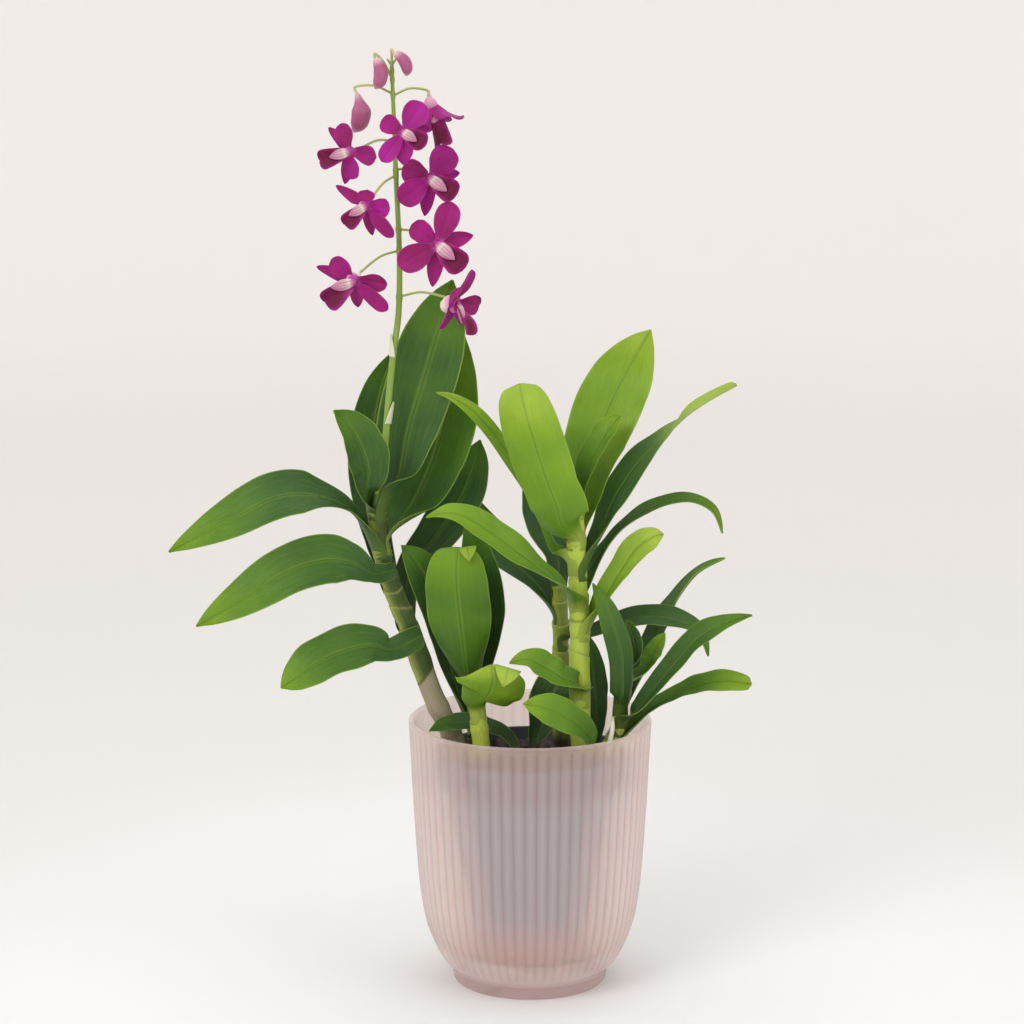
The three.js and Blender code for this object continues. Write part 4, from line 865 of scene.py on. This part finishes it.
def glass_pot(finish):
    heights = np.unique(np.round(np.concatenate([np.linspace(*rows) for rows in GLASS_ROWS]), 3))
    radius = smooth_value([(h, r) for h, r, _ in GLASS_OUTSIDE], heights)
    share = smooth_value([(h, s) for h, _, s in GLASS_OUTSIDE], heights)
    wall = [(h, r) for h, r, _ in GLASS_OUTSIDE if GLASS_FLOOR < h < GLASS_HEIGHT - RIM_ZONE]
    inner_heights = np.linspace(wall[-1][0], wall[0][0], WALL_ROWS)
    inner = smooth_value(wall, inner_heights) - GLASS_WALL
    rim = [(r, GLASS_HEIGHT - depth) for r, depth in GLASS_RIM]
    bowl = [(math.sin(turn) * GLASS_FLOOR_RADIUS, GLASS_FLOOR + BOWL_RISE * (1 - math.cos(turn)))
            for turn in np.linspace(math.pi / 2.2, 0.2, BOWL_ROWS)]
    inside = rim + list(zip(inner, inner_heights + 1)) + bowl
    pairs = [(0, 0)] + list(zip(radius, heights)) + inside + [(0, GLASS_FLOOR)]
    ribbed = np.concatenate([share, np.zeros(len(inside))])[:, None]

    def valley(angle):
        return 1 - np.abs(np.cos(angle * RIB_COUNT / 2))

    points, faces = turned(pairs, POT_COLUMNS, lambda angle: RIB_DEPTH * ribbed * valley(angle))
    row_heights = np.array([h for _, h in pairs[1:-1]])[:, None]
    # Painted shade in the rib grooves, and on the smooth inside wall above a height.
    inner_tone = INNER_RIB_TONE * (row_heights > INNER_RIBS_ABOVE) * (ribbed == 0)
    valleys, ends = valley(turns(POT_COLUMNS)), [0.0, 0.0]
    height = points[:, 2]
    shape = Shape().add(
        points, faces,
        groove=np.append(np.maximum(ribbed, inner_tone) * valleys**GROOVE_SHARPNESS, ends),
        # Painted highlight along each rib's crest.
        ridge=np.append(ribbed * fade(valleys, 0, RIDGE_WIDTH), ends),
        # The darker foot, and a painted pink glow above it.
        foot=np.maximum(fade(height, *FOOT_TINT), LOW_GLOW_SHARE * fade(height, *LOW_GLOW)),
    )
    shape.piece("glass_pot_fine", finish, "frosted_glass", "glass_pot")


# ---- nursery pot and bark ----
NURSERY_ROWS = (28, 36, 44, 52)
NURSERY_SIDES = 128
# The pink light that the glass throws on its lower part.
GLOW = (22, 42)
GLOW_SHARE = 0.8


def nursery_radius(height):
    share = (height - NURSERY_BOTTOM) / (NURSERY_RIM - NURSERY_BOTTOM)
    return mix(NURSERY_RADIUS_LOW, NURSERY_RADIUS_HIGH, share)


def nursery_pot(finish):
    lip = NURSERY_RADIUS_HIGH + NURSERY_LIP
    lip_bottom = NURSERY_RIM - NURSERY_LIP_HEIGHT
    floor_top = NURSERY_BOTTOM + NURSERY_WALL
    inner_rim = NURSERY_RADIUS_HIGH - NURSERY_WALL
    pairs = [
        (0, NURSERY_BOTTOM), (NURSERY_RADIUS_LOW - 1, NURSERY_BOTTOM),
        (NURSERY_RADIUS_LOW, NURSERY_BOTTOM + 1),
        *((nursery_radius(height), height) for height in (*NURSERY_ROWS, lip_bottom - 0.5, lip_bottom)),
        (lip - 0.3, lip_bottom + 0.1), (lip, lip_bottom + 0.5), (lip, NURSERY_RIM - 0.5),
        (lip - 0.4, NURSERY_RIM), (inner_rim + 0.2, NURSERY_RIM), (inner_rim, NURSERY_RIM - 0.4),
        (nursery_radius(floor_top) - NURSERY_WALL, floor_top), (0, floor_top),
    ]
    points, faces = turned(pairs, NURSERY_SIDES)
    out, height = np.hypot(points[:, 0], points[:, 1]), points[:, 2]
    # The inside wall, which gets painted shade.
    inside = (out < nursery_radius(height) - NURSERY_WALL / 2) & (height > floor_top)
    shape = Shape().add(points, faces, inside=inside, lip=height >= lip_bottom,
                        low=GLOW_SHARE * fade(height, *GLOW))
    shape.piece("nursery_pot_fine", finish, "grey_plastic", "nursery_pot")


BED_SIDES = 64
CHIP_SEED = 11
CHIP_COUNT = 150
CHIP_ROWS = 7
CHIP_SIDES = 12
CHIP_SQUARENESS = 0.45
# Least and most of half a chip's length, width and height.
CHIP_SIZES = ((4, 9), (3, 5.5), (1.2, 2.6))
# How far a chip may be turned in the plane of two axes.
CHIP_TURNS = (((1, 2), 0.5), ((0, 2), 0.5), ((0, 1), math.pi))
CHIP_FROM_EDGE = 9


def round_box():
    """Points and faces of a box with round edges, from -1 to 1, which a chip is squeezed from."""
    lift = np.linspace(-math.pi / 2, math.pi / 2, CHIP_ROWS + 2)[1:-1, None]
    turn = turns(CHIP_SIDES)

    def squared(wave):
        return np.sign(wave) * np.abs(wave) ** CHIP_SQUARENESS

    skin = np.stack(np.broadcast_arrays(
        squared(np.cos(lift)) * squared(np.cos(turn)), squared(np.cos(lift)) * squared(np.sin(turn)),
        squared(np.sin(lift))), -1)
    points = np.vstack([skin.reshape(-1, 3), [0, 0, -1], [0, 0, 1]])
    return points, closed_rings(CHIP_ROWS, CHIP_SIDES)


def bark(finish):
    draw = random.Random(CHIP_SEED)
    low, top = NURSERY_BOTTOM + NURSERY_WALL + 0.3, BARK_TOP - 2
    edge = nursery_radius(BARK_TOP) - NURSERY_WALL - BARK_GAP
    low_edge = nursery_radius(low) - NURSERY_WALL - BARK_GAP
    shape = Shape().add(*turned([(0, low), (low_edge, low), (edge, top), (0, top)], BED_SIDES), tone=0.0)
    box, skin = round_box()
    for _ in range(CHIP_COUNT):
        size = np.array([draw.uniform(*limits) for limits in CHIP_SIZES])
        rough = np.array([[draw.uniform(0.8, 1.2)] for _ in box])
        chip = box * size * rough
        for (first, second), most in CHIP_TURNS:
            angle = draw.uniform(-most, most)
            a, b = chip[:, first].copy(), chip[:, second].copy()
            chip[:, first] = a * math.cos(angle) - b * math.sin(angle)
            chip[:, second] = a * math.sin(angle) + b * math.cos(angle)
        reach = math.sqrt(draw.random()) * (edge - CHIP_FROM_EDGE)
        around = draw.uniform(0, FULL_TURN)
        chip += [reach * math.cos(around), reach * math.sin(around), BARK_TOP + draw.uniform(-1.5, 2.2)]
        shape.add(chip, skin, tone=draw.random() ** 2 * 0.6)
    shape.piece("bark_fine", finish, "bark_chips", "bark")


# ---- canes ----
MOUTH_ABOVE = 3
MOUTH_SLANT = 2.6
MOUTH_STEP = 0.55
SHORTEST_SHEATH = 6
# Lines drawn on a cane: width and strength.
RIM_LINE = (1.1, 0.45)
SHADOW_LINE = (0.9, 0.5)
DRY_EDGE_LINE = (0.9, 0.9)
PAPERY_SLANT = 4
PAPERY_FADE = 0.8
SHADED_AZIMUTH = math.radians(-35)
SHADE_CONTRAST = 2.4
SHADE_START = 0.9


def mouths_of(name):
    """Where a sheath ends on a cane: its height there and the way it faces, lowest first."""
    found = list(CANES[name].bare_mouths)
    for leaf in LEAVES.values():
        if leaf.cane == name:
            found.append((leaf.height + MOUTH_ABOVE, 90 if leaf.azimuth is None else leaf.azimuth))
    return sorted(found)


def line_round(distance, width, strength):
    """A soft line or swelling where a distance is nought."""
    return np.exp(-((distance / width) ** 2)) * strength


def cane(name, finish):
    table = CANES[name]
    line, last = table.line, len(table.line) - 1
    length = np.linalg.norm(np.diff(along(line, np.linspace(0, last, 60)), axis=0), axis=1).sum()
    rows = int(length / CANE_ROW)
    around = turns(CANE_SIDES)
    height = along(line, np.linspace(0, last, rows))[:, 2:]
    step, rim, under = np.zeros((3, rows, CANE_SIDES))
    below_last = line[0][2]
    for place, azimuth in mouths_of(name):
        drop = place + MOUTH_SLANT * np.cos(around - math.radians(azimuth)) - height
        reach = max(place - below_last, SHORTEST_SHEATH)
        covered = (drop > 0) & (drop < reach)
        step = np.maximum(step, np.where(covered, MOUTH_STEP * (1 - drop / reach), 0))
        rim = np.maximum(rim, np.where(drop > 0, line_round(drop, *RIM_LINE), 0))
        # Painted shadow on the cane just above each sheath mouth.
        shadow = np.exp(drop / SHADOW_LINE[0]) * SHADOW_LINE[1]
        under = np.maximum(under, np.where(drop <= 0, shadow, 0))
        below_last = place

    def radius_at(share):
        swell = JOINT_SWELL * (0.5 + 0.5 * np.cos(share * table.joints * FULL_TURN)) ** 4
        return (radius_on(table.radii, share) + swell)[:, None] + step

    dry = table.papery + PAPERY_SLANT * np.cos(around) - height
    if table.papery:
        under = np.maximum(under, line_round(dry, *DRY_EDGE_LINE))
    facing = 0.5 + 0.5 * np.cos(around - SHADED_AZIMUTH) + 0 * height
    shade = table.shaded * np.clip(facing * SHADE_CONTRAST - SHADE_START, 0, 1)
    values = dict(rim=rim, under=under, papery=fade(dry, PAPERY_FADE, 0), shade=shade)
    values = {key: np.append(value, [0.0, 0.0]) for key, value in values.items()}
    shape = Shape().add(*tube(line, radius_at, rows, CANE_SIDES), young=table.young, **values)
    shape.piece(name + "_fine", finish, "cane_skin", name)


# ---- leaves ----
LEAF_WAVES = (3, 5, 8)
LEAST_HALF_WIDTH = 0.2
CLASP_ROUNDING = 0.8


def cane_frame(name, height):
    """The middle of a cane at a height, the way it runs there, and its radius at a joint."""
    line, radii = CANES[name].line, CANES[name].radii
    place = place_at_height(line, height)
    radius = radius_on(radii, place / (len(line) - 1)) + JOINT_SWELL
    return along(line, place)[0], heading(line, [place])[0], radius


def outward(leaf, lean):
    """The side of the cane that a leaf sits on."""
    if leaf.azimuth is None:
        return unit(lean)
    turn = math.radians(leaf.azimuth)
    return np.array([math.cos(turn), math.sin(turn), 0])


def clasp_of(leaf):
    """The base of a leaf that crosses its cane, round the cane from one azimuth to the other.

    Its upper side looks away from the cane.
    """
    centre, direction, radius = cane_frame(leaf.cane, leaf.height)
    turn = np.radians(leaf.clasp)
    ways = np.stack([np.cos(turn), np.sin(turn), np.zeros(2)], -1)
    ways = unit(ways - direction * (ways @ direction)[:, None])
    return centre + ways * (radius + CLASP_ROOM), ways, leaf.clasp_half, CLASP_BEND


def sheath_of(leaf):
    """Two places on the cane's skin, the ways the leaf faces there, and the half-width and bend."""
    if leaf.clasp:
        return clasp_of(leaf)
    first = np.array(leaf.midrib[0], float)
    if leaf.foot:
        foot = np.array([*leaf.foot, STEM_FOOT], float)
        out = outward(leaf, (first - foot) * [1, 1, 0])
        raised = np.array([*leaf.foot, BARK_TOP + ROOTED_RISE], float)
        return [foot, raised], [-out, -out], ROOTED_RADIUS * SHEATH_BEND, SHEATH_BEND
    centre, _, radius = cane_frame(leaf.cane, leaf.height)
    top, top_direction, _ = cane_frame(leaf.cane, leaf.height + SHEATH_LENGTH)
    lean = outward(leaf, first - top)
    out = unit(lean - top_direction * lean.dot(top_direction))
    sheath = [centre + out * (radius - SHEATH_SUNK[0]), top + out * (radius - SHEATH_SUNK[1])]
    return sheath, [-out, -out], radius * SHEATH_BEND, SHEATH_BEND


def leaf_run(leaf):
    """The course of a leaf from its sheath to its tip, and how far it has opened, 0 to 1."""
    sheath, low_facing, sheath_half, sheath_bend = sheath_of(leaf)
    points = np.vstack([sheath, leaf.midrib])
    reach = len(leaf.midrib) - 1
    spread = along(leaf.facing, np.arange(reach + 1) / reach * (len(leaf.facing) - 1))
    facings = np.vstack([low_facing, spread])
    places = np.concatenate([np.linspace(0, 2, LEAF_ROWS_SHEATH),
                             np.linspace(2, len(points) - 1, LEAF_ROWS_BLADE)[1:]])
    share = np.maximum(places - 2, 0) / reach
    opened = fade(places, 2, 1)
    opened = opened * opened * (3 - 2 * opened)
    near_base = np.maximum(1 - share / NECK_SHARE, 0)
    outline = BLUNT if leaf.blunt else POINTED
    broader = 0 if leaf.base is None else leaf.base - outline[0][1]
    width = leaf.width / 2 * (smooth_value(outline, share) + broader * near_base)
    half = mix(sheath_half, width * mix(1, leaf.neck, near_base), opened)
    if leaf.clasp:
        half = half * np.sqrt(1 - fade(places, 0, CLASP_ROUNDING) ** 2)
    run = Run(
        centre=along(points, places), direction=heading(points, places),
        facing=unit(along(facings, places)), share=share, half=np.maximum(half, LEAST_HALF_WIDTH),
        bend=mix(sheath_bend, leaf.cup, fade(places, 1 + UNFOLD_STEPS, 1)),
    )
    return run, opened


def leaf(name, finish):
    table = LEAVES[name]
    draw = random.Random(name)
    run, opened = leaf_run(table)
    across = ACROSS[None]
    groove = rib_groove(run.half, depth=0.5, width=0.9) * opened[:, None]
    wave = sum(
        draw.uniform(0.25, 0.55) * np.sin(run.share * math.pi * count + draw.uniform(0, 6))[:, None]
        for count in LEAF_WAVES
    )
    ends = np.sin(run.share * math.pi)[:, None]
    relief = groove + wave * ends * across**2 * np.sign(across)
    points, faces, uv = blade(run, thinned(LEAF_THICK, edge=0.3), relief)
    collar = fade(opened, 0, 0.5) * (not table.clasp)
    tone = table.tone + table.tip * fade(run.share, 0.75, 0.5)
    collar, tone = (np.tile(np.repeat(row, len(ACROSS)), 2) for row in (collar, tone))
    shape = Shape().add(points, faces, uv, collar=collar, tone=tone)
    if name in FOLDS:
        shape.add(*fold(FOLDS[name]), collar=0, tone=FOLD_TONE)
    slot = "bright_leaf" if name[5] in "cf" or name in BRIGHT_SHOOTS else "dark_leaf"
    shape.piece(name + "_fine", finish, slot, name)


def fold(corners):
    """A small flap of a leaf's tip, turned over towards the front: two corners, then its point."""
    first, second, tip = np.array(corners, float)
    share = np.linspace(0, 1, FOLD_ROWS)
    middle = (first + second) / 2
    bulge = np.array([0, -FOLD_BULGE, 0]) * np.sin(share * math.pi)[:, None]
    direction = unit(tip - middle)
    return blade(Run(
        centre=middle + (tip - middle) * share[:, None] + bulge, direction=direction,
        facing=np.cross(unit(second - first), direction), share=share,
        half=np.linalg.norm(second - first) / 2 * np.maximum(1 - share**1.5, 0.04), bend=FOLD_BEND,
    ), FOLD_THICK)


# ---- flower spike ----
def stalklet_line(height, end, way):
    """From the spike at a height to an end that is met the given way."""
    start = along(SPIKE_LINE, place_at_height(SPIKE_LINE, height))[0]
    before = end - way * STALKLET_STRAIGHT
    rise = (start + before) / 2 + [0, 0, STALKLET_RISE]
    return [start, rise, before, end]


def stalklet_lines():
    """A line for every bloom, to the foot of its ovary, and for every bud, to its middle."""
    held = [(b.stalk, b.centre, unit(b.face), OVARY_LENGTH * b.size) for b in BLOOMS.values()]
    held += [(b.stalk, b.centre, unit(b.heading), b.length / 2) for b in BUDS.values()]
    return [stalklet_line(height, np.array(centre) - way * (back - STALKLET_SUNK), way)
            for height, centre, way, back in held]


def bract(share, sign):
    """A papery sheath on the spike, at a share of its line and to one side."""
    place = share * (len(SPIKE_LINE) - 1)
    base, top = along(SPIKE_LINE, [place, place + 0.5])
    direction, out = unit(top - base), unit([sign, -0.6, 0])
    steps = np.linspace(0, 1, BRACT_ROWS)
    away = radius_on(SPIKE_RADII, share) * 1.05 + steps[:, None] * 1.2
    return blade(Run(
        centre=base + direction * steps[:, None] * BRACT_LENGTH + out * away, direction=direction,
        facing=-out, share=steps, half=mix(*BRACT_HALF, steps**1.6), bend=mix(*BRACT_BEND, steps),
    ), BRACT_THICK)


def flower_spike(finish):
    joint_heights = np.array([item.stalk for item in (*BLOOMS.values(), *BUDS.values())])

    def stalk_radius(share):
        heights = along(SPIKE_LINE, share * (len(SPIKE_LINE) - 1))[:, 2:]
        near = line_round(heights - joint_heights, SPIKE_SWELL_LENGTH, SPIKE_SWELL).max(axis=1)
        return radius_on(SPIKE_RADII, share) + near

    shape = Shape().add(*tube(SPIKE_LINE, stalk_radius, rows=260, sides=16))
    for line in stalklet_lines():
        points, faces, uv = tube(line, lambda s: STALKLET_RADIUS * (0.85 + 0.3 * s**3), rows=26, sides=10)
        shape.add(points, faces, uv, pale=0.25 + 0.75 * uv[:, 1])
    tip = np.array(SPIKE_LINE[-1], float)
    for sign in (-1, 1):
        nub = [tip - [0, 0, 2], tip + [sign * 1.5, -0.5, 0], tip + [sign * 2.6, -0.5, 1.5]]
        shape.add(*tube(nub, lambda s: 0.9 - 0.5 * s, rows=8, sides=8), pale=0.3)
    for share, sign in BRACTS:
        shape.add(*bract(share, sign), papery=0.9)
    shape.piece("flower_spike_fine", finish, "stalk", "flower_spike")


# ---- blooms and buds ----
def tepal(piece, size, closing, draw):
    angle = math.radians(piece["turn"])
    out, up = np.array([math.sin(angle), math.cos(angle), 0]), np.array([0.0, 0, 1])
    share = np.linspace(0, 1, TEPAL_ROWS)
    lean = piece["lean"] + closing
    length = piece["length"] * math.sqrt(1 - (closing / max(piece["length"], CLOSED_LENGTH)) ** 2)
    centre = out * ((TEPAL_START + length * share) * size)[:, None]
    centre[:, 2] = (piece["level"] + lean * np.sin(share * math.pi / 2)) * size
    slope = (lean / length * (math.pi / 2) * np.cos(share * math.pi / 2))[:, None]
    half = piece["width"] / 2 * size * smooth_value(piece["outline"], share)
    run = Run(centre, unit(out + up * slope), up - out * slope, share, half, piece["cup"])
    waves = draw.uniform(0.2, 0.4) * np.sin(share * 9 + draw.uniform(0, 6))[:, None] * ACROSS**3
    groove = rib_groove(half, depth=0.25, width=0.7)
    return blade(run, thinned(PETAL_THICK, edge=0.35), (groove + waves) * size)


def bloom(name, finishes):
    table = BLOOMS[name]
    size, slot = table.size, "magenta_petal"
    draw = random.Random(name)
    forward = unit(table.face)
    right = unit(np.cross(table.top, forward))
    turn = np.stack([right, np.cross(forward, right), forward])

    def placed(found):
        points, faces, uv = found
        return points @ turn + table.centre, faces, uv

    def stem(points, radii, rows=18, sides=16, flat=1.0):
        line = np.array(points, float) * size
        stops = list(zip(np.linspace(0, 1, len(radii)), radii))
        return placed(tube(line, lambda s: smooth_value(stops, s) * size, rows, sides,
                           lambda turn: 1 / np.hypot(np.cos(turn), np.sin(turn) / flat)))

    own = [dict(zip(("turn", "length", "width"), row)) for row in table.tepals]
    petals = Shape()
    for piece, change in zip(TEPALS, own):
        found = tepal({**piece, **change}, size, table.closing, draw)
        petals.add(*placed(found), tone=draw.uniform(0, 0.7))
    petals.piece(name + "_tepals", finishes["petal"], slot, name)
    lip = Shape().add(*placed(tepal({**LIP, **own[-1]}, size, table.closing, draw)))
    lip.piece(name + "_lip", finishes["lip"], slot)
    column = Shape().add(*stem(COLUMN_LINE, COLUMN_RADII, rows=24, sides=20, flat=COLUMN_FLAT))
    column.piece(name + "_column", finishes["column"], slot)
    spur_line = [(0, y, z if z > 0 else z * table.spur) for _, y, z in SPUR_LINE]
    spur = Shape().add(*stem(spur_line, np.array(SPUR_RADII) * table.spur), blush=table.blush)
    ovary_line = [(0, 0.4, 0), (0, 0.2, -OVARY_LENGTH / 2), (0, 0, -OVARY_LENGTH)]
    spur.add(*stem(ovary_line, OVARY_RADII), blush=table.blush)
    spur.piece(name + "_spur", finishes["spur"], slot)


def bud(name, finish):
    table = BUDS[name]
    way, length, crown = unit(table.heading), table.length, table.crown
    sideways = unit(np.cross(way, [0, 1, 0]))
    shares = np.linspace(-0.5, 0.5, 6)[:, None]
    bow = table.bend * length * np.cos(shares * math.pi)
    line = np.array(table.centre) + way * length * shares + sideways * bow
    outline = [(0, crown * 0.3), (0.06, crown), (0.25, 0.1 + crown * 0.85), (0.5, 0.3), (0.75, 0.27),
               (0.93, 0.14), (1, 0.02)]
    shape = Shape().add(*tube(line, lambda s: smooth_value(outline, s) * length, rows=40, sides=28,
                              lobes=lambda turn: 1 - 0.45 * np.clip(-np.cos(turn), 0, 1) ** 2))
    shape.piece(name + "_fine", finish, "bud_skin", name)


def aerial_root(finish):
    shape = Shape().add(*tube(ROOT_LINE, lambda s: ROOT_RADIUS * (1.05 - 0.5 * s**6), rows=40, sides=14,
                              lobes=lambda turn: 1 + 0.04 * np.cos(5 * turn)))
    shape.piece("aerial_root_fine", finish, "pale_root", "aerial_root")


# ---- studio ----
FLOOR_RADII = (300, 900, 1800)
SWEEP_START = 2600
SWEEP_RADIUS = 700
BACKDROP_TOP = 2600
FLOOR_SIDES = 96
# Lights: place, width, power, colour.
LIGHTS = {
    "key": ((-1.3, -1.7, 2.0), 1.4, 25, (1, 0.99, 0.97)),
    "fill": ((1.9, -1.2, 1.2), 1.8, 10, (0.97, 0.985, 1)),
    "top": ((0.2, 0.5, 2.4), 1.6, 8, (1, 1, 1)),
}
LIGHT_AIM = Vector((0, 0, 0.25))


def studio():
    """A pale floor that sweeps up into a round backdrop, so that every view has both."""
    rise = np.radians(np.linspace(0, 90, 24))
    pairs = [(radius, 0) for radius in FLOOR_RADII]
    pairs += [(SWEEP_START + SWEEP_RADIUS * math.sin(a), SWEEP_RADIUS * (1 - math.cos(a))) for a in rise]
    pairs.append((SWEEP_START + SWEEP_RADIUS, BACKDROP_TOP))
    points = np.vstack([rings(pairs, FLOOR_SIDES), [0, 0, 0]])
    faces = [face[::-1] for face in grid(len(pairs), FLOOR_SIDES, wrap=True)]
    faces += [(len(points) - 1, k, (k + 1) % FLOOR_SIDES) for k in range(FLOOR_SIDES)]
    floor = Shape().add(points, faces).made("studio_floor", studio_paint())


def lights():
    for name, (place, size, power, colour) in LIGHTS.items():
        light = bpy.data.lights.new(name, "AREA")
        light.shape, light.size, light.energy, light.color = "DISK", size, power, colour
        lamp = linked(name, light)
        lamp.location = place
        lamp.rotation_euler = (Vector(place) - LIGHT_AIM).to_track_quat("Z", "Y").to_euler()
    world = bpy.data.worlds.new("pale_world")
    world.use_nodes = True
    colour, strength = world.node_tree.nodes["Background"].inputs[:2]
    colour.default_value, strength.default_value = rgb(248, 249, 250), 0.8
    bpy.context.scene.world = world


# ---- camera: the place, pitch and lens that fit the photograph ----
FRAME_PIXELS = 1024
FOCAL_PIXELS = 3000
SENSOR_MM = 36
CAMERA_PLACE = (-0.0104, -1.6775, 0.5863)
CAMERA_PITCH = 10.5


def camera():
    lens = bpy.data.cameras.new("camera")
    lens.sensor_width = SENSOR_MM
    lens.lens = FOCAL_PIXELS / FRAME_PIXELS * SENSOR_MM
    held = linked("camera", lens)
    held.location = CAMERA_PLACE
    held.rotation_euler = (math.radians(90 - CAMERA_PITCH), 0, 0)
    bpy.context.scene.camera = held


# ---- the whole plant ----
def each(table, make, finish):
    """Makes every piece of a table with one finish."""
    for name in table:
        make(name, finish)


camera()
lights()
studio()
glass_pot(glass_paint())
nursery_pot(nursery_paint())
bark(bark_paint())
each(CANES, cane, cane_paint())
each(LEAVES, leaf, leaf_paint())
flower_spike(stalk_paint())
each(BLOOMS, bloom, dict(petal=petal_paint(), lip=lip_paint(), column=column_paint(), spur=spur_paint()))
each(BUDS, bud, bud_paint())
aerial_root(root_paint())
bpy.context.scene.view_settings.view_transform = "Standard"
